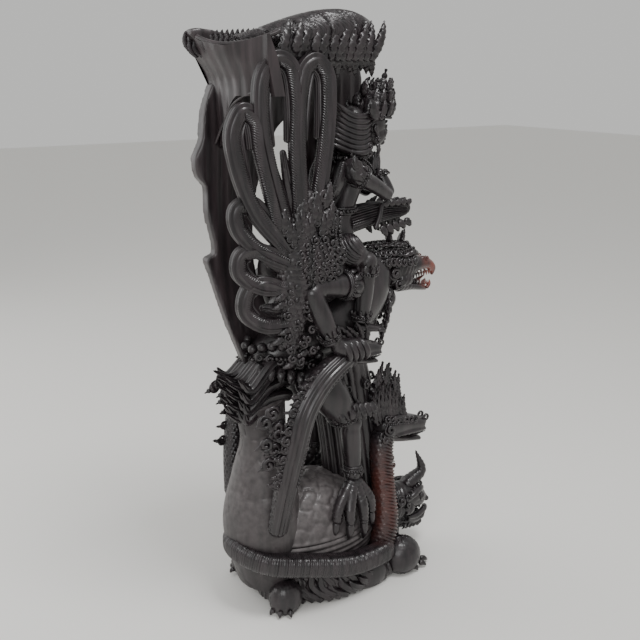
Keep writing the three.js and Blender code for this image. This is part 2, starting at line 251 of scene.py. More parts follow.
def hexCells(u, v):
    # 0 on the edge of a six-sided cell and 1 at its middle, for u and v in cell widths
    tall = math.sqrt(3)
    found = []
    for du, dv in ((0, 0), (0.5, 0.5)):
        fu, fv = (u - du) % 1, (v / tall - dv) % 1
        found += [np.hypot(fu - i, (fv - j) * tall) for i in (0, 1) for j in (0, 1)]
    near = np.partition(np.stack(found), 1, axis=0)
    return near[1] - near[0]


def scaleCut(pitch, count, depth):
    # rounded scales in staggered rows
    return lambda s, a, t: depth * np.minimum(hexCells(a * count / (2 * math.pi), s / pitch + 0 * a), 0.5) * 2


# Ornaments

def leaf(base, tip, width, thick=2.0, bow=(0, 0, 0), across=(1, 0, 0), veins=5, step=1.5, around=14):
    # a pointed leaf with cut veins, bowed towards one side
    base, tip, bow = [np.array(p, float) for p in (base, tip, bow)]
    line = [base, mix(base, tip, 0.35) + bow * 0.9, mix(base, tip, 0.72) + bow * 0.75, tip]
    radii = [(width * 0.7, thick), (width, thick * 1.1), (width * 0.62, thick * 0.9), (0.4, 0.4)]
    cut = both(grooves(2, thick * 0.45, 4), lambda s, a, t: 0.22 * thick * np.sin(veins * (2 * math.pi * t + 2 * np.abs(np.cos(a)))))
    return tube(line, radii, around, step, across, cut)


def curl(centre, radius, normal=(1, 0, 0), start=0.0, turns=1.3, thick=None, grow=1.0, around=9):
    # a scroll that winds in to its own middle, in the plane across normal
    normal = np.array(normal, float) / np.linalg.norm(normal)
    up = np.array([0, 0, 1.0]) if abs(normal[2]) < 0.8 else np.array([0, -1.0, 0])
    flatWay = np.cross(up, normal)
    flatWay /= np.linalg.norm(flatWay)
    up = np.cross(normal, flatWay)
    share = np.linspace(0, 1, 9)
    angle = math.radians(start) + share * turns * 2 * math.pi
    reach = radius * (1 - 0.82 * share)
    line = (np.array(centre, float) + reach[:, None] * (np.cos(angle)[:, None] * flatWay + np.sin(angle)[:, None] * up)
            + normal * (share * radius * 0.35 * grow)[:, None])
    thick = thick or radius * 0.3
    return tube(line, [thick * 0.35, thick, thick * 1.05, thick * 0.95, thick * 0.8], around, radius * 0.16 + 0.2, normal)


def rosette(centre, normal, radius, petals=8, heart=0.36):
    # a round heart with petals round it
    normal = np.array(normal, float) / np.linalg.norm(normal)
    first = np.cross(normal, (0, 0, 1.0) if abs(normal[2]) < 0.8 else (0, 1.0, 0))
    first /= np.linalg.norm(first)
    second = np.cross(normal, first)
    made = [ball(np.array(centre) + normal * radius * 0.16, radius * heart, 12, 7)]
    for i in range(petals):
        angle = 2 * math.pi * i / petals
        way = math.cos(angle) * first + math.sin(angle) * second
        reach = np.array(centre) + way * radius * 0.66
        made.append(tube([np.array(centre) + way * radius * 0.3, reach, np.array(centre) + way * radius],
                         [radius * 0.1, radius * 0.23, radius * 0.08], 8, radius * 0.16, normal))
    return made


# Rows of beads are gathered here and strung by the bead tree at the end
beadRows = {"seed": [], "pea": [], "large": []}


def string(size, *points):
    beadRows[size].append(smoothLine(points, 1.0)[0])


def ring(centre, normal, radii, count=13, start=0.0, sweep=360.0):
    # points of a round or oval line across normal
    normal = np.array(normal, float) / np.linalg.norm(normal)
    first = np.cross(normal, (0, 0, 1.0) if abs(normal[2]) < 0.8 else (0, -1.0, 0))
    first /= np.linalg.norm(first)
    second = np.cross(normal, first)
    angle = np.radians(start + np.linspace(0, sweep, count))
    radii = radii if np.ndim(radii) else (radii, radii)
    return np.array(centre) + radii[0] * np.cos(angle)[:, None] * first + radii[1] * np.sin(angle)[:, None] * second


# Finishes

def finish(name, dark, light, rough, dustAndTopLight=0.0, red=None, grain=0.12):
    # oiled ebony: cloudy colour, upright grain, uneven gloss, pale dust mixed with painted light from above in what
    # faces up, red heartwood near a point
    material = bpy.data.materials.new(name)
    material.use_nodes = True
    nodes, links = material.node_tree.nodes, material.node_tree.links
    shader = nodes["Principled BSDF"]
    shader.inputs["Specular IOR Level"].default_value = 0.5
    shader.inputs["Coat Weight"].default_value = 0.22
    shader.inputs["Coat Roughness"].default_value = 0.16
    place = nodes.new("ShaderNodeTexCoord")

    def noise(scale, detail=3.0, stretch=(1, 1, 1)):
        turn = nodes.new("ShaderNodeMapping")
        turn.inputs["Scale"].default_value = stretch
        links.new(place.outputs["Object"], turn.inputs["Vector"])
        made = nodes.new("ShaderNodeTexNoise")
        made.inputs["Scale"].default_value = scale
        made.inputs["Detail"].default_value = detail
        links.new(turn.outputs["Vector"], made.inputs["Vector"])
        return made.outputs["Fac"]

    def blend(share, a, b):
        made = nodes.new("ShaderNodeMix")
        made.data_type = "RGBA"
        links.new(share, made.inputs["Factor"])
        for socket, value in ((made.inputs["A"], a), (made.inputs["B"], b)):
            if isinstance(value, tuple):
                socket.default_value = (*value, 1)
            else:
                links.new(value, socket)
        return made.outputs["Result"]

    def spanOf(value, low, high, toLow=0.0, toHigh=1.0):
        made = nodes.new("ShaderNodeMapRange")
        for name_, number in zip(("From Min", "From Max", "To Min", "To Max"), (low, high, toLow, toHigh)):
            made.inputs[name_].default_value = number
        links.new(value, made.inputs["Value"])
        return made.outputs["Result"]

    streaks = noise(42, 4, (3.2, 3.2, 0.3))
    colour = blend(spanOf(streaks, 0.38, 0.66), dark, light)
    if red:
        centre, reach, tone = red
        gap = nodes.new("ShaderNodeVectorMath")
        gap.operation = "DISTANCE"
        links.new(place.outputs["Object"], gap.inputs[0])
        gap.inputs[1].default_value = toRow(centre)
        near = spanOf(gap.outputs["Value"], reach * 0.001, 0)
        uneven = nodes.new("ShaderNodeMath")
        uneven.operation = "MULTIPLY"
        uneven.use_clamp = True
        links.new(near, uneven.inputs[0])
        links.new(spanOf(noise(90), 0.3, 0.6, 0.5, 2.0), uneven.inputs[1])
        colour = blend(uneven.outputs[0], colour, tone)
    # pale dust together with painted light from above: faces that point up are made paler, in patches
    if dustAndTopLight:
        form = nodes.new("ShaderNodeNewGeometry")
        split = nodes.new("ShaderNodeSeparateXYZ")
        links.new(form.outputs["Normal"], split.inputs[0])
        share = nodes.new("ShaderNodeMath")
        share.operation = "MULTIPLY"
        links.new(spanOf(split.outputs["Z"], -0.2, 0.9, 0, dustAndTopLight), share.inputs[0])
        links.new(spanOf(noise(160, 5), 0.3, 0.7, 0.35, 1.0), share.inputs[1])
        colour = blend(share.outputs[0], colour, (0.30, 0.27, 0.27))
    links.new(colour, shader.inputs["Base Color"])
    links.new(spanOf(noise(75, 4), 0.3, 0.7, rough[0], rough[1]), shader.inputs["Roughness"])
    bump = nodes.new("ShaderNodeBump")
    bump.inputs["Strength"].default_value = grain
    bump.inputs["Distance"].default_value = 0.0006
    links.new(noise(260, 3, (1.6, 1.6, 0.1)), bump.inputs["Height"])
    links.new(bump.outputs["Normal"], shader.inputs["Normal"])
    return material


ebonyLook = {"dark": (0.0075, 0.0055, 0.0068), "light": (0.024, 0.0175, 0.020), "rough": (0.26, 0.46)}
ebony = finish("oiledEbony", ebonyLook["dark"], ebonyLook["light"], ebonyLook["rough"])
panelEbony = finish("smoothedEbony", (0.013, 0.009, 0.0105), (0.038, 0.027, 0.030), (0.36, 0.52), grain=0.35)
# the shell's up-facing faces get pale dust together with a painted highlight of the light from above
shellEbony = finish("dustyTopLitEbony", (0.012, 0.009, 0.010), (0.030, 0.023, 0.025), (0.45, 0.62), dustAndTopLight=0.5)
birdEbony = finish("birdEbony", ebonyLook["dark"], ebonyLook["light"], (0.2, 0.38),
                   red=((0, -150, 356), 34, (0.17, 0.036, 0.022)))
serpentEbony = finish("serpentEbony", ebonyLook["dark"], ebonyLook["light"], (0.26, 0.44),
                      red=((-30, -60, 100), 70, (0.06, 0.018, 0.014)))


# The turtle and the flames round its foot

baseLook = {"halfWidth": 62, "halfDepth": 97, "sideFlame": 44, "cornerFlame": 104, "locks": 50}


def flameTop(angle):
    return mix(baseLook["sideFlame"], baseLook["cornerFlame"], step01(1.5, 2.45, np.abs(angle)))


def footRing(angle, z, out=0.0):
    reach = np.interp(z, [0, 10, 34, 70, 110], [0.95, 0.99, 0.98, 0.93, 0.86])
    return np.stack([np.sin(angle) * (baseLook["halfWidth"] * reach + out),
                     -np.cos(angle) * (baseLook["halfDepth"] * reach + out), z + 0 * angle], -1)


def flameBase():
    angle = -np.linspace(0, 2 * math.pi, 120, endpoint=False)
    wrapped = (angle + math.pi) % (2 * math.pi) - math.pi
    levels = [footRing(angle, share * flameTop(wrapped) * 0.86, -2.5) for share in np.linspace(0, 1, 9)]
    levels.append(levels[-1] * (0.6, 0.6, 1) + (0, 0, -3))
    core = ringShell(np.array(levels), np.array([0, 0, 0.0]), np.array([0, 0, 62.0]))
    made = [core]
    for row, (shareTop, shareFoot, width, out) in enumerate(((1.0, 0.12, 5.6, 0.0), (0.52, -0.05, 5.2, 3.0))):
        count = baseLook["locks"]
        for i in range(count):
            middle = (i + 0.5 * row) / count * 2 * math.pi - math.pi
            tall = flameTop(middle)
            top = shareTop * tall * (1 + 0.16 * math.sin(i * 2.4))
            foot = max(shareFoot * tall, 1.5)
            lean = -0.2 * math.copysign(1, middle) * (tall / 60)
            share = np.linspace(0, 1, 7)
            wave = 0.055 * np.sin(share * 2 * math.pi * (tall / 70) + 0.9 * i) * (0.4 + share)
            turn = middle + lean * (share - 0.6) + wave
            height = mix(top, foot, share)
            line = [footRing(np.float64(a), z, out + 1.6 * math.sin(6.5 * t + i)) for a, z, t in zip(turn, height, share)]
            radii = [(1.0, 1.0), (3.6, width * 0.7), (4.4, width), (4.2, width), (4.6, width), (4.6, width), (3.2, width * 0.8)]
            outward = (math.sin(middle), -math.cos(middle), 0.15)
            made.append(tube(line, radii, 12, 2.4, outward, grooves(7, 1.25)))
    return made


def scaledBall(centre, size, cell=5.0, depth=1.3, around=56, up=36):
    def cut(way):
        u = np.arctan2(way[..., 0], way[..., 1]) * size[0] / cell
        v = way[..., 2] * size[2] / cell * 1.15
        return depth * np.minimum(hexCells(u * (0.55 + 0.45 * np.sqrt(1 - way[..., 2] ** 2)) * 1.0, v), 0.6)
    return ball(centre, size, around, up, cut)


def turtleFeet():
    def foot(s):
        made = [scaledBall((s * 49, -76, 20), (21, 24, 23)), scaledBall((s * 47, 84, 16), (16, 19, 21)),
                ball((s * 55, -24, 14), (12, 27, 19), 24, 14)]
        for i in range(4):      # claws of the front foot, then of the rear one
            turn = math.radians(-75 + 38 * i)
            way = np.array([s * math.cos(turn) * 0.6, math.sin(turn) * 0.8 - 0.45, 0])
            start = np.array([s * 49, -76, 7]) + way * (18, 21, 0)
            made.append(tube([start, start + way * 6 + (0, 0, -1), start + way * 10 + (0, 0, -5)], [3.6, 3.2, 0.6], 10, 1.2))
        for i in range(3):
            turn = math.radians(10 + 36 * i)
            way = np.array([s * math.cos(turn), math.sin(turn), 0])
            start = np.array([s * 47, 84, 6]) + way * (13, 15, 0)
            made.append(tube([start, start + way * 4, start + way * 7 + (0, 0, -4)], [3.4, 3, 0.6], 10, 1.2))
        return made
    return bothSides(foot)


shellLook = {"scute": 23.0, "groove": 1.5, "backScute": 46.0, "bandRib": 2.3}


def shellDome():
    def cut(way):
        u = way[..., 1] * 88 / shellLook["scute"] + 0.25
        v = np.arctan2(way[..., 0], way[..., 2]) * 68 / shellLook["scute"] + 0.2
        u, v = u + 0.11 * np.sin(2 * math.pi * v * 1.15), v + 0.11 * np.sin(2 * math.pi * u * 1.0)
        border = hexCells(u, v)
        scutes = 1.6 * np.sqrt(np.minimum(border, 0.35) / 0.35) - shellLook["groove"]
        low = 1 - step01(0.2, 0.26, way[..., 2])
        rims = 1.5 * np.abs(np.sin(way[..., 2] * 36)) - 0.4
        return mix(scutes, rims, low)
    return ball((0, 30, 62), (60, 88, 76), 260, 150, cut)


def rearShell():
    def cut(s, a, t):
        u = a * 48 / shellLook["backScute"]
        v = s / shellLook["backScute"] * 1.2 + 0 * a
        border = hexCells(u + 0.1 * np.sin(6 * v), v + 0.1 * np.sin(6 * u))
        return -0.9 * (1 - np.minimum(border / 0.05, 1))
    line = [(0, 80, 20), (0, 86, 90), (0, 84, 150), (0, 83, 195), (0, 88, 240)]
    return tube(line, [(44, 34), (51, 44), (38, 35), (27, 26), (24, 30)], 150, 1.8, relief=cut, cap=4)


def head(parts, voxel, rounds=2, relief=None):
    return fused(parts, voxel, rounds, relief)


def turtleHead():
    skin = [
        tube([(0, -56, 46), (-1, -90, 60), (-1, -112, 66), (-2, -132, 62), (-2, -143, 56)],
             [(26, 22), (23, 23), (20, 21), (16, 15), (10, 9)], 30, 2),
        tube([(0, -86, 42), (-1, -112, 35), (-2, -137, 33)], [(18, 12), (15, 8), (10, 6)], 24, 2),
        ball((-2, -142, 60), (9, 6.5, 6), 20, 12),
        ball((-2, -136, 27), (8, 6, 5), 18, 10),
    ]
    for s in (-1, 1):
        skin += [
            ball((s * 14 - 1, -122, 71), (7.5, 8, 7.5), 20, 12),                          # eye
            tube([(s * 5 - 1, -138, 72), (s * 13 - 1, -131, 79), (s * 22, -116, 78), (s * 25, -100, 72)], [3.4, 4.2, 4, 2], 14, 1.5),
            ball((s * 6 - 2, -145, 58), (4.2, 4, 3.6), 16, 10),                           # nostril
            tube([(s * 3 - 2, -146, 47), (s * 11 - 1, -139, 47), (s * 17, -124, 44), (s * 19, -108, 46)], [3.2, 4, 3.6, 2], 14, 1.5),
            tube([(s * 3 - 2, -142, 37), (s * 10 - 1, -137, 37), (s * 15, -122, 38), (s * 18, -108, 43)], [2.8, 3.4, 3, 2], 14, 1.5),
            ball((s * 19, -108, 58), (7, 10, 8), 18, 12),                                 # cheek
            ball((s * 22, -92, 74), (6, 8, 9), 18, 12),                                   # ear
        ]
    wrinkles = lambda p, n: 0.5 * np.sin(p[:, 1] * 1.15 + 0.25 * p[:, 2]) * step01(-116, -96, p[:, 1])
    made = [head(skin, 1.0, 2, wrinkles)]
    made.append(tube([(-2, -112, 78), (-3, -128, 88), (-4, -139, 98), (-3, -130, 126)], [13, 9, 6.4, 0.6], 24, 1.5,
                     relief=ribs(5.5, 0.8, 2)))
    for s in (-1, 1):
        eye = np.array([s * 15 - 1, -127, 71])
        made += [ball(eye + (s * 2.5, -2, 0), 4.4, 16, 10), curl((s * 26, -92, 76), 7, (s, 0.1, 0.1), 40, 1.5),
                 curl((s * 25, -103, 66), 5, (s, -0.3, 0.1), 200, 1.4)]
        made.append(tube(ring(eye + (s * 2.6, -2.4, 0), (s * 0.75, -0.65, 0.1), 5.6, 15), 1.1, 8, 1))
        for i in range(5):      # curls along the brow, then of the beard
            made.append(curl((s * (8 + 4 * i) - 1, -134 + 7 * i, 83 - 1.2 * i), 4.2, (s * 0.5, -0.5, 0.7), 70 * i, 1.3))
            made.append(curl((s * (6 + 3 * i), -135 + 8 * i, 25 + 2.5 * i), 4.6, (s, -0.5, -0.4), 60 * i, 1.3))
        for i in range(4):      # teeth between the lips
            made.append(ball((s * (4 + 3.6 * i) - 1, -144 + 4.2 * i, 42.3), (1.7, 1.5, 3.0), 10, 6))
        made.append(tube([(s * 15, -133, 39), (s * 16, -136, 45), (s * 15, -136, 52)], [2.4, 1.9, 0.4], 10, 1))
    return made


# The serpents

def serpentHead(nape, nose, size, curlSide=-1):
    # skull, open jaws with fangs, eyes under brows and a scrolled nose, along the line from nape to nose
    nape, nose = np.array(nape, float), np.array(nose, float)
    way = nose - nape
    at = lambda share, up=0.0, side=0.0: nape + way * share + np.array([side * size, 0, up * size])
    skin = [
        tube([at(-0.15), at(0.2, 0.1), at(0.55, 0.12), at(0.85, 0.02), at(1.0, -0.05)],
             [(size * 0.9, size * 0.95), (size, size * 1.05), (size * 0.85, size * 0.8), (size * 0.72, size * 0.6), (size * 0.6, size * 0.42)], 24, 1.4),
        tube([at(0.05, -0.8), at(0.4, -1.12), at(0.92, -1.3)], [(size * 0.75, size * 0.4), (size * 0.55, size * 0.28), (size * 0.4, size * 0.2)], 20, 1.4),
        ball(at(0.97, 0.16), (size * 0.5, size * 0.32, size * 0.4), 16, 10),
    ]
    for s in (-1, 1):
        skin += [ball(at(0.36, 0.62, s * 0.58), size * 0.36, 14, 9),
                 tube([at(0.12, 0.9, s * 0.8), at(0.34, 1.02, s * 0.72), at(0.6, 0.72, s * 0.5)], size * 0.17, 10, 1.0),
                 tube([at(0.2, -0.55, s * 0.85), at(0.6, -0.4, s * 0.78), at(0.98, -0.35, s * 0.5)], size * 0.15, 10, 1.0)]
    made = [head(skin, size * 0.065, 2)]
    for s in (-1, 1):
        made += [ball(at(0.38, 0.6, s * 0.78), size * 0.22, 12, 8),
                 curl(at(1.0, 0.5, s * 0.35), size * 0.34, (1, 0, 0), 20, 1.4),
                 curl(at(0.0, 0.1, s * 1.05), size * 0.5, (s, 0, 0), 120, 1.6),
                 curl(at(-0.08, -0.8, s * 0.9), size * 0.42, (s, 0, 0), 240, 1.5)]
        for i in range(5):
            made.append(tube([at(0.42 + 0.12 * i, -0.42, s * (0.74 - 0.07 * i)), at(0.43 + 0.12 * i, -0.8, s * (0.7 - 0.07 * i))],
                             [size * 0.085, size * 0.02], 7, size * 0.08))
    made.append(tube([at(0.3, -0.85), at(0.8, -0.95), at(1.08, -0.8)], [(size * 0.3, size * 0.12), (size * 0.2, size * 0.1), 0.4], 10, 1.0))
    return made


def scrollFringe(line, normal, count, size, outward, spin=150):
    # scrolls and leaves set side by side along a line, as on a mane
    even = smoothLine(line, 1.0)[0]
    picks = even[np.linspace(0, len(even) - 1, count).astype(int)]
    outward = np.array(outward, float)
    made = []
    for i, point in enumerate(picks):
        grow = size * (0.85 + 0.3 * ((i * 7) % 5) / 4)
        made.append(curl(point + outward * grow * 0.7, grow * 0.62, normal, spin + 35 * i, 1.4, grow * 0.2))
        made.append(leaf(point, point + outward * grow * 2.1 + np.array([0, 0, 2.0 * math.sin(2.1 * i)]), grow * 0.34, grow * 0.2,
                         across=np.cross(outward, normal), veins=3, around=10))
        if i % 2:
            made.append(ball(point + outward * grow * 1.35 + np.array(normal, float) * 1.2, grow * 0.2, 10, 6))
    return made


sideSerpentLook = {"radius": 13.0, "scale": 5.2}


def sideSerpent(s):
    line = [(s * 47, -6, 291), (s * 56, 20, 285), (s * 62, 48, 269), (s * 65, 69, 243), (s * 66, 81, 205), (s * 62, 90, 160),
            (s * 52, 97, 100)]

    def cut(s_, a, t):
        belly = -1.1 * (1 - np.abs(np.sin(4.5 * a))) ** 2 * (0.35 + 0 * s_)
        outer = step01(0.15, 0.5, s * np.cos(a))
        plain = 1.1 * np.minimum(hexCells(a * 15 / (2 * math.pi), s_ / 5.4), 0.5) * 2
        return mix(plain, belly + 0.7 * np.sin(13 * a), outer)
    body = tube(line, [11, 12.5, 13.5, 13.5, 12.5, 11.5, 10], 72, 1.1, relief=cut)
    made = [body, serpentHead((s * 50, 2, 293), (s * 45, -40, 289), 11.5)]
    edge = smoothLine([np.array(p) + (s * 8, -7, -6) for p in line[1:6]], 1.0)[0]
    string("pea", *edge[::12])
    string("seed", *(edge[::12] + (s * 2, 5, 2)))
    fringe = [np.array(p) + (s * 3, 7, 7) for p in line[2:6]]
    count = 13 if s < 0 else 8
    made.append(scrollFringe(fringe, (s, 0.2, 0), count, 9, (0, 0.86, 0.1)))
    made.append(scrollFringe(np.array(fringe) + (s * 2, -5, 0), (s, 0.1, 0), count - 3, 7, (0, 0.7, 0.35), 20))
    for i in range(8 if s < 0 else 4):     # scrolled leaves that hang behind the body
        y, z = 104 + 9 * math.sin(1.9 * i), 246 - 8 * i
        made.append(curl((s * 60, y, z), 8, (s, 0.3, 0), 45 * i, 1.5))
        made.append(leaf((s * 58, y - 10, z + 5), (s * 60, y + 13, z - 5), 5, 2.6, across=(0, 0.3, 1), around=10))
    for i in range(6):      # crest over the nape
        made.append(leaf((s * 50, -18 + 5 * i, 300), (s * 51, -16 + 12 * i, 322 + 3 * (i % 2)), 3.6, 2.2, (0, -3, 0), (0, 1, 0.2)))
    return made


def frontSerpent():
    band = [(46, 72, 60), (22, 112, 68), (-12, 123, 72), (-48, 104, 66), (-64, 62, 58), (-67, 10, 45), (-59, -38, 40), (-46, -56, 34)]
    ribbed = both(ribs(shellLook["bandRib"], 0.9), grooves(4, 1.1, 6))
    coil = tube(band, [9, 11.5, 12.5, 12.5, 12.5, 12.5, 12, 12], 30, 0.62, (0, 0, 1), ribbed, 0.8)

    def neckCut(s, a, t):
        front = step01(-0.2, 0.35, -np.sin(a - 0.5) * -1)
        return mix(0.8 * np.minimum(hexCells(a * 14 / (2 * math.pi), s / 6.0), 0.5) * 2, ribs(4.0, 2.2, 5.0)(s, a, t), front)
    neck = tube([(-44, -48, 30), (-40, -58, 70), (-31, -60, 112), (-23, -62, 150), (-18, -68, 176)],
                [(14, 16), (14, 15), (12.5, 14), (13, 14), (14, 14)], 48, 0.8, relief=neckCut)
    made = [coil, neck, serpentHead((-18, -66, 178), (-14, -131, 168), 15)]
    for i in range(9):      # tall plume of flame leaves
        y = -56 - 5.2 * i
        tip = 238 + 20 * math.sin(math.pi * min(1, (i + 2) / 9)) - 3 * (i % 2)
        made.append(leaf((-18, y, 186), (-16 + 2 * (i % 3), y - 2 + 1.2 * i - 4, tip), 4.6, 4.6, (0, 6, 0), (0, 1, 0.1), 7))
        made.append(leaf((-25, y + 1, 184), (-24, y + 4, tip - 22), 4.0, 3.0, (0, 4, 0), (0, 1, 0.1), 5))
    for i in range(7):      # scrolls of the brow and cheek
        made.append(curl((-30 + i * 0.6, -66 - 7 * i, 190 - 1.6 * i), 5.4, (-1, 0, 0.2), 50 * i, 1.5))
    for i in range(6):
        made.append(curl((-31, -58 - 3 * i, 172 - 8 * i), 5.2, (-1, 0, 0), 80 * i, 1.4))
    string("seed", (-33, -60, 186), (-32, -84, 182), (-27, -108, 176))
    return made


# The bird mount

def birdTrunk():
    skin = [
        tube([(0, 92, 280), (0, 58, 294), (0, 18, 306), (0, -20, 326), (0, -44, 352), (0, -64, 388)],
             [(20, 18), (31, 27), (36, 34), (37, 38), (34, 36), (20, 20)], 40, 3),
        ball((0, -36, 318), (24, 30, 34), 30, 20),
    ]
    for s in (-1, 1):
        skin += [
            ball((s * 30, 30, 376), (17, 40, 32), 30, 20),
            tube([(s * 34, -20, 360), (s * 46, 8, 366), (s * 52, 54, 371)], [15, 13.5, 9], 26, 2),
            tube([(s * 52, 55, 373), (s * 55, 42, 340), (s * 57, 25, 304)], [9.5, 11.5, 8], 26, 2),
            tube([(s * 20, 44, 276), (s * 37, 22, 244), (s * 41, -2, 208)], [26, 22, 14], 30, 2),
            ball((s * 41, -7, 205), (12, 12.5, 12.5), 22, 14),
            tube([(s * 41, -4, 206), (s * 41, -7, 180), (s * 41, -9, 160), (s * 42, -9, 132)], [12, 11.5, 10, 8], 26, 2),
            tube([(s * 56, 30, 306), (s * 59, 14, 301), (s * 58, -4, 304)], [8, 10, 8], 20, 1.5),
        ]
    return fused(skin, 1.7, 4, lambda p, n: 0 * p[:, 0])


def loincloth():
    # a hanging cloth with upright folds, in front between the legs
    folds = both(grooves(22, 2.6, 1.4), grooves(11, 1.2, 1.0))
    made = [tube([(2, -2, 300), (2, -28, 200), (-2, -42, 92)], [(28, 38), (20, 40), (22, 42)], 132, 3, relief=folds, cap=5)]
    for i in range(9):
        angle = math.radians(-160 + 40 * i)
        made.append(curl((2 + 23 * math.cos(angle), -28 + 38 * math.sin(angle), 236 - 5 * (i % 2)), 6, (math.cos(angle), math.sin(angle), 0), 60 * i, 1.5))
    return made


birdLook = {"armletLeaves": 9, "teeth": 7, "tailRows": 4, "tailFeathers": 9}


def cuff(centre, along_, radius, leaves=9, tall=8.0, bands=2):
    # raised bands round a limb with a row of upright leaves
    along_ = np.array(along_, float) / np.linalg.norm(along_)
    centre = np.array(centre, float)
    made = [tube(ring(centre + along_ * (k * 2.6), along_, radius, 19), 1.5, 8, 1.5) for k in range(bands)]
    feet = ring(centre, along_, radius + 0.4, leaves + 1)[:-1]
    for foot in feet:
        out = (foot - centre) / np.linalg.norm(foot - centre)
        made.append(leaf(foot, foot - along_ * tall + out * 1.6, tall * 0.36, 1.5, out * 1.2, np.cross(out, along_), 3, 1.2, 10))
    beadRows["seed"].append(smoothLine(ring(centre + along_ * 1.3, along_, radius + 1.4, 19), 1.0)[0])
    return made


def birdLimbDress(s):
    # what the arms and legs wear, the hands and the long talons
    made = [
        cuff((s * 46, 6, 366), (0.25 * s, 1, 0.1), 14, 10, 11, 3),
        cuff((s * 56, 32, 316), (0.1 * s, -0.4, -1), 10, 9, 8, 3),
        cuff((s * 41, -9, 147), (0, 0, 1), 9.6, 9, 6, 3),
        cuff((s * 40, 2, 216), (0, -0.5, -1), 17, 11, 12, 2),
    ]
    for i in range(4):      # fingers round the serpent's neck
        y = -6 + 7.5 * i
        made.append(tube([(s * 55, y + 5, 308), (s * 65, y + 1, 304), (s * 67, y - 3, 294), (s * 60, y - 4, 284)], [3.6, 4, 3.6, 2.4], 12, 1.3))
        made.append(ball((s * 64.5, y + 1, 304), 4.3, 12, 8))
    ankle = np.array([s * 42, -9, 136])
    for side, reach, drop, bend in ((10, 44, 62, 12), (17, 22, 66, 16), (4, -28, 66, -10), (12, -8, 74, 0)):
        tip = ankle + (s * side, reach * 0.8, -drop)
        knuckle = ankle + (s * (side * 0.7 + 5), reach * 0.55 + bend * 0.2, -drop * 0.4)
        made.append(tube([ankle, knuckle, mix(knuckle, tip, 0.55) + (s * 3, 0, 2)], [8, 6.6, 5], 18, 1.4, relief=ribs(5.0, 1.0)))
        made.append(tube([mix(knuckle, tip, 0.42) + (s * 2, 0, 1), mix(knuckle, tip, 0.75) + (s * 3, 0, 0), tip], [5, 4, 0.5], 14, 1.3))
    for i in range(7):      # leafy hem over the knee
        y = -30 + 7 * i
        made.append(leaf((s * 50, y + 6, 232 - abs(i - 3)), (s * 55, y, 208 + 2 * abs(i - 3)), 5, 2.6, (s * 3, 0, 0), (0, 1, 0), 5))
    return made


def birdHead():
    skin = [
        ball((0, -96, 364), (18, 25, 22), 30, 20),
        tube([(0, -100, 362), (0, -122, 366), (0, -138, 364), (0, -147, 357), (0, -148, 348)],
             [(16, 14), (13, 9.5), (9.5, 7), (6, 5), (1.2, 1.2)], 28, 1.2),
        tube([(0, -88, 346), (0, -112, 341), (0, -132, 336), (0, -140, 333)], [(15, 11), (11, 6), (7, 4), (2.5, 2.5)], 24, 1.2),
        tube([(0, -64, 380), (0, -84, 366)], [22, 18], 26, 2),
    ]
    for s in (-1, 1):
        skin += [
            ball((s * 12, -106, 373), (6.5, 7.5, 6.5), 18, 12),
            tube([(s * 16, -92, 379), (s * 14, -108, 383), (s * 6, -122, 378)], [3, 3.6, 1.6], 12, 1.2),
            ball((s * 13, -98, 352), (7, 11, 8), 18, 12),
            ball((s * 6, -129, 371), (4, 6, 4), 14, 9),
        ]
    made = [head(skin, 0.85, 2, lambda p, n: 0.35 * np.sin(p[:, 1] * 1.1 + p[:, 2] * 0.5) * step01(-122, -104, p[:, 1]))]
    for s in (-1, 1):
        made += [ball((s * 16.5, -109, 373.5), 4.2, 16, 10), tube(ring((s * 16.6, -109, 373.5), (s, -0.45, 0.05), 5.6, 15), 1.2, 8, 1.0),
                 curl((s * 17, -80, 362), 8, (s, 0, 0), 150, 1.8), curl((s * 18, -86, 348), 6, (s, 0, 0), 20, 1.5),
                 curl((s * 8, -133, 372), 3.6, (s, -0.4, 0.3), 90, 1.4)]
        for i in range(birdLook["teeth"]):
            y = -112 - 4.6 * i
            made.append(tube([(s * (11 - 1.15 * i), y, 357), (s * (10.6 - 1.15 * i), y - 1, 350.5)], [1.9, 0.35], 8, 1.0))
            made.append(tube([(s * (9.5 - 0.95 * i), y + 2, 345 - 1.1 * i), (s * (9.2 - 0.95 * i), y + 1, 351 - 1.1 * i)], [1.7, 0.3], 8, 1.0))
        made.append(tube([(s * 4, -137, 334), (s * 4.5, -141, 340), (s * 4, -141, 345)], [2.2, 1.8, 0.3], 8, 1.0))
        for row in range(3):    # mane of scrolls over the nape
            for i in range(7):
                y = -52 - 7.6 * i + 3 * (row % 2)
                z = 394 - 9 * row - 0.16 * (i - 2) ** 2
                made.append(curl((s * (8 + 6.5 * row), y, z), 5.4, (s * (0.3 + 0.35 * row), -0.1, 0.9 - 0.4 * row), 55 * i + 90 * row, 1.5))
        string("seed", (s * 17, -84, 384), (s * 13, -108, 388), (0, -120, 383))
    made += [tube([(0, -96, 343), (0, -122, 345), (0, -137, 350)], [(6, 2.4), (4.6, 2), (0.6, 0.6)], 12, 1.2),
             rosette((0, -108, 390), (0, -0.7, 0.7), 9), leaf((0, -100, 388), (0, -106, 408), 6, 3, (0, 2, 0)),
             leaf((0, -86, 392), (0, -84, 410), 6, 3, (0, 2, 0))]
    return made


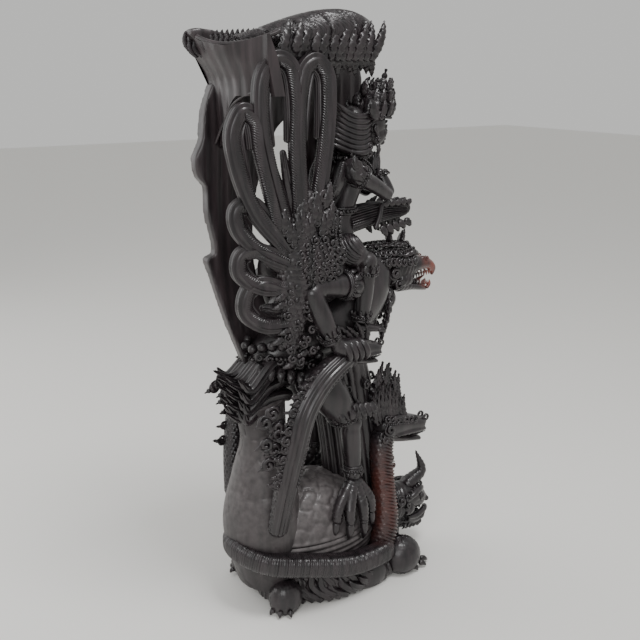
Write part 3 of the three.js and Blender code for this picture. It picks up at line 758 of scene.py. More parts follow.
def birdChest():
    # breast ornaments: a column of scrolls with beads, bead collars and a row of hanging leaves
    made = []
    for i in range(7):
        z = 362 - 11 * i
        y = -66 - 14 * math.sin(math.pi * (i + 1) / 8)
        for s in (-1, 1):
            made.append(curl((s * 9, y, z), 6.6, (s * 0.5, -1, 0), 60 * i, 1.5))
            made.append(leaf((s * 13, y + 7, z + 3), (s * 21, y + 12, z - 11), 5, 2.4, (0, -2, 0), (0.7 * s, 0, 0.7), 4))
        made.append(ball((0, y - 5, z), 3.6, 14, 9))
    made.append(tube([(0, -74, 346), (0, -83, 329), (0, -76, 312)], [(9, 7), (12, 9), (5, 5)], 24, 1.5, relief=grooves(10, 1.2)))
    for drop in (0, 9, 18):
        string("seed" if drop != 9 else "pea", (-26, -32, 372 - drop), (-20, -62, 358 - drop), (0, -78 - drop * 0.2, 350 - drop * 1.4),
               (20, -62, 358 - drop), (26, -32, 372 - drop))
    return made


def girdle():
    made = []
    for s in (-1, 1):
        string("large", (s * 8, 98, 300), (s * 24, 84, 305), (s * 34, 60, 302), (s * 38, 34, 290))
        string("pea", (s * 8, 98, 288), (s * 26, 84, 292), (s * 38, 58, 288), (s * 42, 30, 276))
        for i in range(9):
            share = i / 8
            point = np.array([s * mix(18, 44, share), mix(94, 10, share), mix(286, 262, share)])
            made.append(leaf(point, point + (s * 5, 3, -17), 5.4, 2.6, (s * 3, 2, 0), (-0.4 * s, 0.9, 0), 5))
            made.append(curl(point + (s * 2, 2, 8), 5.2, (s, 0.5, 0.1), 40 * i, 1.4))
    return made


def tail():
    made = []
    for row in range(birdLook["tailRows"]):
        count = birdLook["tailFeathers"] - row
        for i in range(count):
            spreadWay = 2 * i / (count - 1) - 1
            x = spreadWay * (30 - 3.5 * row)
            z = 284 - 14 * row
            reach = 138 - 2.5 * row - 15 * spreadWay ** 2 - (6 if i % 2 else 0)
            tipZ = 272 - 13 * row + 2 * math.sin(2.3 * i)
            line = [(x * 0.55, 52, z + 10 - 4 * row), (x * 0.8, 84, z + 1), (x * 0.95, 112, tipZ - 9), (x, reach, tipZ + 2)]
            made.append(tube(line, [(5, 6.5), (4.6, 6), (4.2, 5), (0.7, 1.0)], 14, 2.0, relief=grooves(6, 1.2)))
    return made


# The right wing: pierced loops, each with a raised rim, a hatched border and a nested inner stem

wingLook = {"side": -46.0, "thick": 5.4, "wide": 7.6, "hatch": 2.5, "hatchDepth": 1.1, "rim": 1.5}
wingLoops = [
    [(60, 440), (64, 510), (61, 560), (53, 586), (41, 592), (31, 582), (29, 560), (34, 510), (46, 444)],
    [(76, 424), (99, 505), (104, 552), (99, 580), (84, 594), (71, 588), (65, 560), (67, 510), (64, 440)],
    [(74, 408), (112, 452), (130, 500), (132, 530), (121, 547), (110, 538), (106, 510), (84, 424)],
    [(74, 396), (108, 414), (130, 438), (130, 455), (116, 460), (98, 440), (76, 408)],
    [(70, 374), (108, 378), (129, 394), (127, 410), (112, 414), (76, 398)],
    [(70, 336), (106, 338), (124, 354), (120, 374), (106, 380), (74, 366)],
]


def loopCut(s, a, t):
    # on the outer face, from the outer edge inwards: rim, hollow, second rim, hatched border
    place = np.sin(a) + 0 * s
    outer = step01(0.05, 0.35, np.abs(np.cos(a))) + 0 * s
    rim = np.exp(-((place + 0.9) / 0.16) ** 2) + 0.9 * np.exp(-((place + 0.12) / 0.13) ** 2)
    hatch = np.abs(np.sin(math.pi * (s + 5.0 * place) / wingLook["hatch"])) - 0.6
    border = step01(0.05, 0.2, place)
    hollow = -0.9 * np.exp(-((place + 0.5) / 0.2) ** 2)
    return outer * (wingLook["rim"] * rim + hollow + wingLook["hatchDepth"] * hatch * border)


def rightWing():
    made = []
    for n, loop in enumerate(wingLoops):
        lean = np.cos(np.linspace(0, 2 * math.pi, len(loop)))
        line = [(wingLook["side"] - 3 * c, y, z) for c, (y, z) in zip(lean, loop)]
        made.append(tube(line, (wingLook["thick"], wingLook["wide"]), 44, 0.62, relief=loopCut, square=0.75))
        middle = np.mean(np.array(loop)[1:-1], axis=0)
        inner = []
        for (y, z), c in zip(loop[1:-1], lean[1:-1]):
            way = middle - (y, z)
            along_ = np.array([way[0], way[1] * (0.3 if n < 3 else 0.8)])
            shift = along_ / (np.linalg.norm(along_) + 1e-6) * (9.5 if n < 3 else 8.0)
            inner.append((wingLook["side"] + 2.2 - 2 * c, y + shift[0], z + shift[1]))
        made.append(tube(inner, (3.6, 4.2 if n < 3 else 3.4), 24, 1.4, relief=grooves(8, 0.9)))
    stems = [((50, 430), (58, 480), (62, 520)), ((70, 420), (84, 470), (96, 510)), ((60, 430), (72, 470), (80, 510)),
             ((72, 404), (96, 432), (112, 462)), ((70, 388), (94, 400), (112, 420)), ((66, 352), (92, 352), (108, 356)),
             ((66, 330), (88, 326), (108, 334))]
    for n, stem in enumerate(stems):
        line = [(wingLook["side"] + 1.5, y, z) for y, z in stem]
        made.append(tube(line, [(6, 8), (5, 6.5), (3, 3)], 28, 1.0, relief=both(grooves(10, 1.0), ribs(2.6, 0.5, 3))))
    return made


def wingRoot():
    # leaves, scrolls, beads and the round medallion where the wing grows from the shoulder
    side = wingLook["side"]
    made = [tube([(side, 50, 470), (side, 58, 430), (side, 62, 390), (side, 70, 350), (side, 74, 306)],
                 [(6, 10), (9, 20), (11, 24), (9, 17), (7, 10)], 72, 1.2, relief=lambda s, a, t: 1.6 * np.minimum(hexCells(a * 16 / (2 * math.pi), s / 7.5), 0.5) * 2)]
    made.append(ball((side - 5, 44, 396), (11, 25, 25), 30, 18))
    for row, (radius, count, size) in enumerate(((24, 14, 5.4), (16, 10, 4.8), (8, 6, 4.2))):
        for i in range(count):
            angle = 2 * math.pi * (i + 0.5 * row) / count
            point = (side - 10 - 2.5 * row, 44 + radius * math.cos(angle), 396 + radius * math.sin(angle))
            made.append(curl(point, size, (-1, 0.2, 0), math.degrees(angle), 1.5))
            if row < 2:
                made.append(ball((point[0] - 2.4, 44 + (radius - 4) * math.cos(angle + 0.2), 396 + (radius - 4) * math.sin(angle + 0.2)), 2.1, 10, 6))
    made.append(rosette((side - 15, 44, 396), (-1, 0.1, 0.1), 7))
    for i in range(13):     # upright leaves and scrolls over the shoulder
        y = 26 + 4.6 * i
        z = 428 + 16 * math.sin(1.7 * i) * 0.5 + 10 * math.exp(-((i - 4) / 3) ** 2)
        made.append(leaf((side - 4, y, z - 10), (side - 6, y - 3 + 0.6 * i, z + 22), 5.2, 3.4, (-3, 0, 0), (0, 1, 0), 5))
        made.append(curl((side - 8, y + 2, z - 4), 5.2, (-1, 0.1, 0.1), 50 * i, 1.5))
    for i in range(3):      # three big scrolls that lean back to the slots
        made.append(curl((side - 5, 38 + 13 * i, 462 - 6 * i), 9 - i, (-1, 0, 0), 200 + 30 * i, 1.5, 3.2))
        made.append(leaf((side - 4, 36 + 12 * i, 448), (side - 5, 30 + 16 * i, 480 - 8 * i), 6, 3.4, (-3, 0, 0), (0, 1, 0), 5))
    string("pea", (side - 8, 18, 444), (side - 9, 20, 428), (side - 9, 18, 410), (side - 8, 12, 396))
    string("seed", (side - 10, 24, 446), (side - 11, 26, 428), (side - 11, 24, 408))
    for i in range(18):     # bead and scroll cluster below, down to the hip
        y, z = 66 + 15 * math.sin(2.4 * i), 372 - 4.6 * i
        made.append(curl((side - 8, y, z), 5.0, (-1, 0.3, 0), 70 * i, 1.5))
        made.append(ball((side - 10, y + 6 * math.cos(i), z + 3), 2.5, 10, 7))
        if i % 2:
            made.append(leaf((side - 4, y + 4, z), (side - 5, y + 20, z - 5), 4.4, 2.6, (-2, 0, 0), (0, 0.2, 1), 5))
    return made


# The left wing, one tall panel that opens in the middle, and the hood

panelLook = {"thick": 14.0, "feather": 50.0, "voxel": 1.9}
panelOutline = [
    (86, 244), (106, 306), (124, 380), (127, 392), (118, 396), (124, 440), (126, 470), (134, 480), (136, 497),
    (128, 516), (124, 545), (116, 566), (108, 580), (118, 596), (136, 620), (84, 617), (30, 622), (-40, 604), (-68, 580),
    (-50, 492), (-20, 390), (20, 310),
]
panelOpening = [(58, 318), (70, 380), (69, 440), (58, 484), (36, 528), (-4, 552), (16, 470), (30, 370)]


def panelAcross(y, z):
    return mix(14, 46, step01(240, 390, z)) - 9 * step01(70, 130, y)


def leftWing():
    # the outline and the opening are drawn flat, filled, melted to an even skin, then bent across
    drawing = bpy.data.curves.new("panel", "CURVE")
    drawing.dimensions = "2D"
    drawing.fill_mode = "BOTH"
    drawing.extrude = panelLook["thick"] / 2 - 1.5
    drawing.bevel_depth = 1.5
    drawing.bevel_resolution = 2
    for outline in (panelOutline, panelOpening):
        spline = drawing.splines.new("POLY")
        closed = [(y, 0, z) for y, z in outline] + [(outline[0][0], 0, outline[0][1])]
        dense = smoothLine(closed, 3.0)[0][:-1]
        spline.points.add(len(dense) - 1)
        for point, (y, _, z) in zip(spline.points, dense):
            point.co = (y, z, 0, 1)
        spline.use_cyclic_u = True
    thing = bpy.data.objects.new("panel", drawing)
    bpy.context.collection.objects.link(thing)
    drawn = bpy.data.meshes.new_from_object(thing.evaluated_get(bpy.context.evaluated_depsgraph_get()))
    solid = bpy.data.objects.new("solid", drawn)
    bpy.context.collection.objects.link(solid)
    remesh = solid.modifiers.new("melt", "REMESH")
    remesh.mode = "VOXEL"
    remesh.voxel_size = panelLook["voxel"]
    soft = solid.modifiers.new("soft", "SMOOTH")
    soft.iterations = 3
    melted = bpy.data.meshes.new_from_object(solid.evaluated_get(bpy.context.evaluated_depsgraph_get()))
    points = np.empty(len(melted.vertices) * 3, np.float32)
    melted.vertices.foreach_get("co", points)
    y, z, x = points.reshape(-1, 3).astype(float).T
    outer = step01(1, panelLook["thick"] / 2, x)
    u, v = y / 15.0, (z + 0.9 * y) / panelLook["feather"]
    shaft = np.abs(np.sin(math.pi * u))
    overlap = (v + 0.5 * np.floor(u) + 0.3 * shaft) % 1
    barbs = np.abs(np.sin(math.pi * (z + 14 * shaft) / 4.2))
    lift = outer * (3.4 * (1 - overlap) * np.sqrt(shaft) + 0.5 * barbs)
    lift -= (1 - outer) * 0.5 * np.sin(y / 2.2 + 0.8 * np.sin(z / 40)) * step01(-6, -3, -x)
    points = np.column_stack([panelAcross(y, z) + x + lift, y, z])
    melted.vertices.foreach_set("co", toRow(points).astype(np.float32).ravel())
    for used in (thing, solid):
        bpy.data.objects.remove(used)
    melted.update()
    return melted


hoodLook = {"wallThick": 11.0, "lip": 20.0}


def hoodWall():
    # the smooth wall behind and above the figures: an arch below, a flaring lip above
    across = np.linspace(-50, 44, 64)
    up = np.linspace(0, 1, 46)
    x, share = np.meshgrid(across, up, indexing="ij")
    arch = 560 - 54 * step01(-10, 36, x)
    edge = np.interp(x, [-50, -30, -10, 20, 44], [616, 611, 606, 611, 620])
    z = mix(arch, edge, share)
    back = 98 + 0.2 * (x + 40) + 20 * step01(560, 618, z) ** 1.5 * step01(-50, 0, x) + 6 * step01(-20, -50, x) * 0
    back = back - 0.010 * (x + 6) ** 2 * (1 - share) * 0.6
    thin = hoodLook["wallThick"] * (1 - 0.75 * step01(590, 620, z))
    outside = np.stack([x, back + thin / 2 + 0.35 * np.sin(x / 2.1), z], -1)
    inside = np.stack([x, back - thin / 2, z], -1)
    # a thick sheet as a flattened tube: rings run round the section, one ring for each place across
    rings = np.concatenate([outside, inside[:, ::-1]], axis=1)
    return ringShell(rings, rings[0].mean(axis=0), rings[-1].mean(axis=0))


def hoodCrest():
    # the roll that curls forward over the rider, cut with fans of feather leaves
    line = [(20, 100, 611), (4, 78, 613), (-6, 46, 618), (-8, 14, 621), (-5, -14, 621), (-3, -34, 619), (-2, -46, 613)]

    def cut(s, a, t):
        fan = s / 26.0 + 0.35 * np.cos(a)
        edge = np.abs(((fan % 1) - 0.5) * 2)
        veins = np.abs(np.sin(math.pi * (6 * (fan % 1) + 3.2 * np.sin(a) ** 2 * 2)))
        smoothNose = 1 - step01(0.80, 0.9, t)
        return smoothNose * (-2.4 * step01(0.86, 1.0, edge) + 1.5 * veins - 0.6) * step01(-0.9, -0.2, -np.sin(a) * -1 + 0.6)
    made = [tube(line, [(15, 4), (26, 10), (31, 16), (32, 20), (30, 21), (24, 18), (15, 12)], 150, 0.95, relief=cut)]
    for i in range(16):     # fans of raised leaves on the near side
        y = 74 - 7.2 * i
        made.append(leaf((-34, y + 4, 592), (-27 + 6 * math.sin(2 * i), y - 13 + 2 * (i % 3), 632), 5.6, 3.0, (-6, 0, 2), (0, 1, 0.3), 7, 1.3))
    for i in range(9):      # jagged leaf tips under the roll
        y = 16 - 8.5 * i
        made.append(leaf((-24 + 2.4 * i, y + 6, 606), (-16 + 2 * i, y - 4, 582 - 3 * (i % 3)), 6.5, 3.0, (-2, 0, 0), (0, 1, 0.2), 6))
    for i in range(14):     # feather tips along the far edge of the lip
        share = i / 13
        foot = np.array([mix(41, 12, share), mix(130, 70, share), mix(600, 606, share)])
        made.append(leaf(foot, foot + (2.5, 7, 21 - 3 * share), 5.4, 2.2, (1, 4, 0), (-0.4, 1, 0), 6))
        made.append(leaf(foot + (-7, -1, -4), foot + (-4, 5, 13), 5.0, 2.0, (1, 4, 0), (-0.4, 1, 0), 6))
    return made


def hoodRim():
    # the rounded near edge of the lip, and the thin line cut above the arch
    rim = [(40, 133, 619), (24, 130, 613), (4, 122, 608), (-16, 110, 608), (-32, 96, 612), (-42, 78, 620)]
    arch = [(-40, 94, 562), (-20, 99, 558), (0, 104, 548), (18, 106, 528), (30, 110, 508)]
    return [tube(rim, [2.2, 2.6, 2.6, 2.4], 12, 1.4), tube([np.array(p) + (0, 6, 3) for p in arch], 1.3, 10, 1.4),
            tube([np.array(p) + (0, 4.5, 8) for p in arch], 1.0, 10, 1.4)]


# The rider

riderLook = {"eyeLine": 524.0, "noseBase": 516.6, "mouth": 512.4, "chin": 505.0, "hairLine": 537.0}


def riderHead():
    eye, nose, mouth, chin = [riderLook[k] for k in ("eyeLine", "noseBase", "mouth", "chin")]
    skin = [
        ball((0, -56, 528), (14, 17, 16), 30, 20), ball((0, -60, 517), (11.8, 13.6, 13.5), 30, 20),
        ball((0, -70, chin + 2.8), (4.6, 3.6, 3.4), 16, 10),
        tube([(0, -73.2, eye + 3), (0, -75.4, nose + 4), (0, -77.4, nose + 1.6)], [1.5, 1.9, 2.2], 12, 0.6),
        tube([(-3.9, -72.6, mouth + 0.9), (0, -74.9, mouth + 1.5), (3.9, -72.6, mouth + 0.9)], [0.7, 1.3, 0.7], 10, 0.5),
        tube([(-3.2, -72.6, mouth - 1.4), (0, -74.6, mouth - 1.7), (3.2, -72.6, mouth - 1.4)], [0.7, 1.4, 0.7], 10, 0.5),
        tube([(0, -40, 486), (0, -48, 508)], [9.5, 8.6], 20, 1.2),
    ]
    for s in (-1, 1):
        skin += [
            ball((s * 6.6, -67.4, 517.5), (4.4, 4.4, 4.8), 16, 10), ball((s * 1.9, -75.2, nose + 0.9), 1.5, 10, 6),
            tube([(s * 1.8, -73.2, eye + 5.2), (s * 6, -72.8, eye + 6.4), (s * 10.4, -68.6, eye + 4.6)], [0.9, 1.2, 0.6], 10, 0.5),
            ball((s * 5.7, -70.4, eye + 0.4), (3.4, 2.6, 2.3), 16, 10),
            tube([(s * 14.2, -53, 528), (s * 15.4, -51, 524), (s * 14.6, -54, 518), (s * 13.8, -56, 513)], [2.2, 2.6, 2.2, 1.6], 12, 0.8),
        ]
    made = [fused(skin, 0.5, 2)]
    for s in (-1, 1):
        made += [
            tube([(s * 2.6, -72.0, eye + 1.2), (s * 5.7, -73.2, eye + 2.2), (s * 9.0, -70.2, eye + 0.9)], [0.4, 0.75, 0.4], 8, 0.4),
            tube([(s * 2.8, -71.8, eye - 0.6), (s * 5.7, -72.8, eye - 1.3), (s * 8.8, -70.0, eye - 0.3)], [0.3, 0.5, 0.3], 8, 0.4),
            curl((s * 15.6, -52, 523), 3.6, (s, -0.3, 0), 90, 1.2, 1.0),
            rosette((s * 16.4, -54, 511.5), (s, -0.2, 0), 4.6, 8), leaf((s * 16, -54, 508), (s * 16.6, -54, 494), 2.6, 1.6, (s * 1.5, 0, 0), (0, 1, 0), 3, 0.9),
        ]
    return made


def crown():
    tiers = both(ribs(6.4, 1.5), grooves(18, 0.8))
    made = [tube([(0, -57, 533), (0, -60, 548), (0, -66, 561), (0, -71, 572), (0, -75, 585)], [19, 16.5, 10, 4.4, 0.7], 60, 0.7, relief=tiers)]
    for base, tip, count, tall in ((18.6, 20.5, 15, 19), (14.5, 15.5, 12, 17), (9.5, 9.8, 9, 15)):
        k = {15: 0, 12: 1, 9: 2}[count]
        for i in range(count):
            angle = 2 * math.pi * (i + 0.5 * (k % 2)) / count
            way = np.array([math.sin(angle), -math.cos(angle), 0])
            foot = np.array([0, -58 - 4.2 * k, 535 + 13 * k]) + way * base
            made.append(leaf(foot, np.array([0, -62 - 4.2 * k, 535 + 13 * k + tall]) + way * tip, 4.3 - 0.7 * k, 1.8, way * 2.2,
                             np.cross(way, (0, 0, 1)), 4, 1.0, 10))
        beadRows["seed"].append(smoothLine(ring((0, -58 - 4.2 * k, 535.5 + 13 * k), (0, -0.1, 1), base + 1.2, 19), 1.0)[0])
    made += [rosette((0, -80, 542), (0, -1, 0.25), 7.4), leaf((0, -79, 546), (0, -81, 561), 4.6, 2, (0, -2, 0)),
             leaf((0, -46, 556), (0, -54, 577), 5.4, 3, (0, 4, 0)), leaf((0, -40, 542), (0, -40, 562), 6, 3, (0, 5, 0))]
    for s in (-1, 1):
        made.append(leaf((s * 17, -50, 532), (s * 22, -40, 556), 6, 2.4, (s * 3, 2, 0), (0, 1, 0.3), 5))
        made.append(curl((s * 19.5, -55, 537), 4.8, (s, -0.2, 0), 30, 1.6))
    return made


def hair():
    made = [fused([tube([(0, -44, 538), (0, -28, 528), (0, -24, 500)], [17, 16, 12], 24, 2)], 1.4, 2)]
    for s in (-1, 1):
        for i in range(8):      # waves swept back from the temples, their ends lifted
            z = 543 - 5.4 * i
            made.append(tube([(s * 12, -48, z - 1), (s * (16 + 1.2 * math.sin(i)), -36, z - 6), (s * (17 - 0.3 * i), -22, z - 5),
                              (s * (13 - 0.4 * i), -9 + 0.8 * i, z + 3), (s * (10 - 0.4 * i), -3 + 0.6 * i, z + 9 - 0.5 * i)],
                             [2.6, 3.6, 3.4, 2.4, 0.5], 14, 1.2, relief=grooves(5, 0.8)))
        for i in range(10):     # tight curls round and below the ear
            made.append(curl((s * (15.5 - 0.5 * (i % 3)), -44 + 5.4 * (i % 5), 505 - 7.5 * (i // 5)), 4.4, (s, 0, 0), 70 * i, 1.6, 1.4))
            made.append(ball((s * 16.5, -42 + 5.4 * (i % 5), 501 - 7.5 * (i // 5)), 1.5, 8, 5))
    for i in range(6):
        made.append(tube([(-9 + 3.6 * i, -24, 540), (-9 + 3.6 * i, -8, 530), (-8 + 3.2 * i, -6, 514), (-7 + 2.8 * i, 0, 498)], [2.5, 3.2, 3, 0.8], 12, 1.4, relief=grooves(5, 0.7)))
    return made


def riderBody():
    skin = [
        tube([(0, -12, 400), (0, -14, 430), (0, -22, 458), (0, -32, 480), (0, -40, 494)],
             [(26, 24), (18, 15), (20, 15), (25, 15), (11, 10)], 34, 2),
    ]
    for s in (-1, 1):
        skin += [
            ball((s * 10, -42, 474), (9, 7, 8), 18, 12),
            tube([(s * 17, -18, 488), (s * 28, -15, 482), (s * 27, -30, 472), (s * 25, -44, 465), (s * 18, -70, 450)], [10, 12, 9.5, 8.6, 7], 24, 1.6),
            tube([(s * 18, -71, 450), (s * 13, -66, 466), (s * 8, -60, 480)], [7, 6.4, 4.6], 20, 1.4),
            tube([(s * 14, -6, 404), (s * 32, -6, 398), (s * 43, -22, 386)], [17, 16, 12.5], 26, 2),
            ball((s * 43, -23, 387), (11.5, 11.5, 11), 20, 14),
            tube([(s * 43, -22, 386), (s * 43, -20, 352), (s * 43, -17, 322)], [11, 10, 7.4], 24, 1.8),
            tube([(s * 43, -8, 316), (s * 44, -24, 314), (s * 44, -40, 310)], [(7.5, 6), (8, 5), (6.5, 3.4)], 20, 1.5),
        ]
    return fused(skin, 1.05, 3)


def riderDress():
    made = []
    for s in (-1, 1):
        # hands pressed together before the chest
        for i in range(4):
            made.append(tube([(s * (6.4 - 0.3 * i), -58 - 2.6 * i + 3, 478), (s * (4.0 - 0.2 * i), -60 - 2.6 * i + 3, 488), (s * 2.0, -62 - 2.4 * i + 4, 499 - abs(i - 1.5) * 2)],
                             [2.2, 1.9, 1.1], 10, 1.0))
        made.append(tube([(s * 7, -54, 476), (s * 5, -50, 484), (s * 2, -49, 490)], [2.4, 2.0, 1.2], 10, 1.0))
        made += [cuff((s * 27.5, -24, 476), (0.1 * s, -0.9, -0.5), 11, 9, 9, 3), cuff((s * 10, -63, 473), (-0.4 * s, 0.4, 0.9), 6.6, 8, 4, 2)]
        made.append(curl((s * 38, -12, 490), 6.0, (s, 0, 0), 100, 1.6))
        made.append(leaf((s * 36, -14, 482), (s * 38, -8, 500), 5, 2.4, (s * 2, 0, 0), (0, 1, 0), 5))
        # sash that hangs from the shoulder to the hip
        made.append(tube([(s * 25, -6, 492), (s * 27, 0, 476), (s * 22, 4, 460), (s * 12, 6, 446), (s * 6, 4, 432)], [(3, 5.6), (3, 6.4), (3, 6.4), (3, 6), (3, 5)],
                         22, 0.7, (1, 0.4, 0), both(ribs(2.3, 0.8, 3), grooves(2, 0.9, 5)), 0.7))
        # pleated wrap over the thigh, gathered at the knee
        made.append(tube([(s * 20, -2, 408), (s * 34, -5, 400), (s * 42, -18, 391)], [(20, 19), (18.5, 17.5), (14, 13)], 96, 1.4, relief=grooves(26, 1.7, 1.3)))
        made.append(cuff((s * 43, -21, 376), (0, 0.1, -1), 12, 10, 9, 2))
        made.append(cuff((s * 43, -17, 328), (0, 0.1, -1), 8.6, 9, 6, 3))
        for i in range(5):      # toes
            made.append(tube([(s * (38.5 + 2.8 * i), -34, 311), (s * (38 + 3 * i), -44 + 0.8 * abs(i - 1), 310), (s * (38 + 3 * i), -48 + i, 307)], [2.4, 2.3, 1.6], 10, 1.0))
        for i in range(7):
            made.append(curl((s * 46, -6 + 4.5 * i, 402 + 3 * math.sin(i)), 4.4, (s, 0, 0.3), 60 * i, 1.5))
        string("seed", (s * 4, -56, 470), (s * 14, -50, 480), (s * 17, -36, 492), (s * 12, -22, 498))
        string("pea", (s * 2, -54, 461), (s * 17, -46, 472), (s * 21, -32, 487), (s * 15, -14, 494))
    # necklaces, belt and clasp
    made.append(rosette((0, -54, 468), (0, -1, 0.3), 7))
    for i in range(11):
        angle = math.radians(-105 + 21 * i)
        way = np.array([math.sin(angle), -math.cos(angle), 0])
        made.append(leaf(np.array([0, -33, 484]) + way * (17, 15, 0), np.array([0, -32, 470]) + way * (20, 19, 0), 4.4, 1.8, way * 2, np.cross(way, (0, 0, 1)), 4, 1.1, 10))
    for z in (436, 441):
        made.append(tube(ring((0, -15, z), (0, 0, 1), (18.5, 16.5), 25), 2.0, 10, 1.6, (0, 0, 1), ribs(2.4, 0.4)))
    beadRows["pea"].append(smoothLine(ring((0, -15, 438.5), (0, 0, 1), (20.5, 18.5), 25), 1.0)[0])
    made.append(rosette((0, -34, 438), (0, -1, 0.1), 7))
    return made


def pleatedCloth():
    # the pleated end of the wrap, drawn forward over the bird's neck and held by a rolled hem
    cut = grooves(30, 2.3, 1.2)
    made = [tube([(0, -18, 424), (0, -50, 429), (0, -78, 431), (0, -96, 430), (0, -108, 430)], [(20, 15), (17, 13.5), (12, 11.5), (9, 8), (5, 5)], 132, 1.5, relief=cut, cap=3)]
    for s in (-1, 1):
        made.append(tube([(s * 19, -50, 415), (s * 17, -57, 428), (s * 12, -64, 443)], 2.7, 14, 1.2, relief=ribs(3.2, 0.4, 2)))
        for i in range(5):
            made.append(leaf((s * (13 - i), -62 - 9 * i, 418 + i), (s * (14 - 1.6 * i), -70 - 9.5 * i, 404 + 2 * i), 4.6, 2.2, (s * 2, 0, 0), (0, 1, 0.2), 4))
            made.append(leaf((s * (12 - 1.6 * i), -66 - 9 * i, 438), (s * (11 - 1.8 * i), -74 - 9 * i, 447 - i), 4.0, 2.0, (s * 2, 0, 0), (0, 1, 0.2), 4))
    made.append(curl((0, -106, 431), 6, (1, 0, 0), 20, 1.5, 2.4))
    return made


# Beads, strung by one tree of nodes: even gaps along each line, a small round on each point

def beadTree():
    tree = bpy.data.node_groups.new("beadString", "GeometryNodeTree")
    for label, kind in (("Line", "NodeSocketGeometry"), ("Bead radius", "NodeSocketFloat"), ("Gap", "NodeSocketFloat"), ("Finish", "NodeSocketMaterial")):
        tree.interface.new_socket(label, in_out="INPUT", socket_type=kind)
    tree.interface.new_socket("Beads", in_out="OUTPUT", socket_type="NodeSocketGeometry")
    nodes, links = tree.nodes, tree.links
    given = nodes.new("NodeGroupInput")
    even = nodes.new("GeometryNodeResampleCurve")
    even.mode = "LENGTH"
    round_ = nodes.new("GeometryNodeMeshIcoSphere")
    round_.inputs["Subdivisions"].default_value = 2
    place = nodes.new("GeometryNodeInstanceOnPoints")
    real = nodes.new("GeometryNodeRealizeInstances")
    paint = nodes.new("GeometryNodeSetMaterial")
    out = nodes.new("NodeGroupOutput")
    links.new(given.outputs["Line"], even.inputs["Curve"])
    links.new(given.outputs["Gap"], even.inputs["Length"])
    links.new(given.outputs["Bead radius"], round_.inputs["Radius"])
    links.new(even.outputs["Curve"], place.inputs["Points"])
    links.new(round_.outputs["Mesh"], place.inputs["Instance"])
    links.new(place.outputs["Instances"], real.inputs["Geometry"])
    links.new(real.outputs["Geometry"], paint.inputs["Geometry"])
    links.new(given.outputs["Finish"], paint.inputs["Material"])
    links.new(paint.outputs["Geometry"], out.inputs["Beads"])
    return tree


beadLook = {"seed": (1.45, 2.9), "pea": (2.3, 4.5), "large": (5.6, 10.6)}     # radius and gap in millimetres


def beadPieces():
    tree = beadTree()
    inputs = {item.name: item.identifier for item in tree.interface.items_tree if item.in_out == "INPUT"}
    for size, rows in beadRows.items():
        curve = bpy.data.curves.new(size, "CURVE")
        curve.dimensions = "3D"
        for row in rows:
            spline = curve.splines.new("POLY")
            spline.points.add(len(row) - 1)
            for point, place in zip(spline.points, toRow(row)):
                point.co = (*place, 1)
        thing = bpy.data.objects.new(size, curve)
        bpy.context.collection.objects.link(thing)
        made = thing.modifiers.new("beads", "NODES")
        made.node_group = tree
        radius, gap = beadLook[size]
        made[inputs["Bead radius"]] = radius * 0.001
        made[inputs["Gap"]] = gap * 0.001
        made[inputs["Finish"]] = ebony
        mesh = bpy.data.meshes.new_from_object(thing.evaluated_get(bpy.context.evaluated_depsgraph_get()))
        bpy.data.objects.remove(thing)
        piece(size + "Beads", mesh, ebony, 180)


# Camera, light and floor

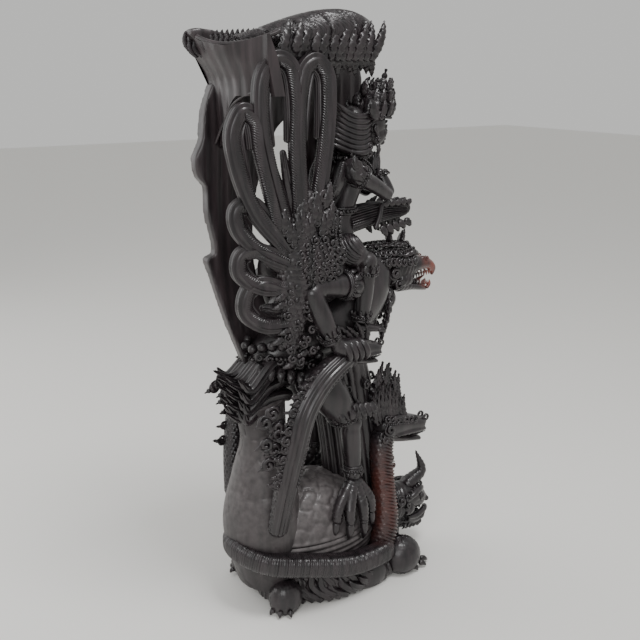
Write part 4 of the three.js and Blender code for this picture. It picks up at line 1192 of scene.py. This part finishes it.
def studio():
    camera = bpy.data.cameras.new("camera")
    camera.lens = 48.94
    camera.sensor_width = 36
    camera.clip_end = 50
    eye = bpy.data.objects.new("camera", camera)
    eye.location = toRow((-787.56, 501.27, 588.0))
    eye.rotation_euler = (math.radians(90 - 16.3), 0, math.radians(-122))
    bpy.context.collection.objects.link(eye)
    bpy.context.scene.camera = eye

    bpy.ops.mesh.primitive_plane_add(size=12)
    floor = bpy.context.object
    floor.name = "floor"
    stone = bpy.data.materials.new("paleFloor")
    stone.use_nodes = True
    stone.node_tree.nodes["Principled BSDF"].inputs["Base Color"].default_value = (0.80, 0.79, 0.765, 1)
    stone.node_tree.nodes["Principled BSDF"].inputs["Roughness"].default_value = 0.55
    floor.data.materials.append(stone)

    world = bpy.data.worlds.new("studio")
    world.use_nodes = True
    world.node_tree.nodes["Background"].inputs["Color"].default_value = (0.86, 0.86, 0.84, 1)
    world.node_tree.nodes["Background"].inputs["Strength"].default_value = 0.75
    bpy.context.scene.world = world

    for name, place, size, power in (
        ("ceilingLamp", (-0.5, -0.1, 1.7), 0.5, 14),
        ("roomLight", (-1.5, 1.3, 1.3), 1.2, 16),
        ("wallGlow", (0.9, 0.9, 0.8), 1.4, 8),
    ):
        lamp = bpy.data.lights.new(name, "AREA")
        lamp.size = size
        lamp.energy = power
        light = bpy.data.objects.new(name, lamp)
        light.location = place
        aim = np.array([0, 0, 0.32]) - np.array(place)
        light.rotation_euler = (math.acos(aim[2] / np.linalg.norm(aim)) - math.pi, 0, math.atan2(aim[1], aim[0]) - math.pi / 2)
        light.rotation_euler = Euler((math.pi - math.acos(aim[2] / np.linalg.norm(aim)), 0, math.atan2(aim[1], aim[0]) - math.pi / 2))
        bpy.context.collection.objects.link(light)


studio()
piece("flameFoot", meshOf("flameFoot", [flameBase(), turtleFeet()]), ebony)
piece("turtleShell", meshOf("turtleShell", [shellDome(), rearShell()]), shellEbony)
piece("turtleHead", meshOf("turtleHead", turtleHead()), ebony)
piece("sideSerpents", meshOf("sideSerpents", bothSides(sideSerpent)), ebony)
piece("frontSerpent", meshOf("frontSerpent", frontSerpent()), serpentEbony)
piece("birdBody", meshOf("birdBody", [birdTrunk(), loincloth()]), ebony)
piece("birdHead", meshOf("birdHead", birdHead()), birdEbony)
piece("birdDress", meshOf("birdDress", [bothSides(birdLimbDress), birdChest(), girdle(), tail()]), ebony)
piece("rightWing", meshOf("rightWing", rightWing()), ebony)
piece("wingRoot", meshOf("wingRoot", wingRoot()), ebony)
piece("leftWing", leftWing(), panelEbony)
piece("hood", meshOf("hood", [hoodWall(), hoodRim()]), panelEbony)
piece("hoodCrest", meshOf("hoodCrest", hoodCrest()), ebony)
piece("rider", meshOf("rider", [riderHead(), riderBody(), hair()]), ebony)
piece("riderDress", meshOf("riderDress", [crown(), riderDress(), pleatedCloth()]), ebony)
beadPieces()
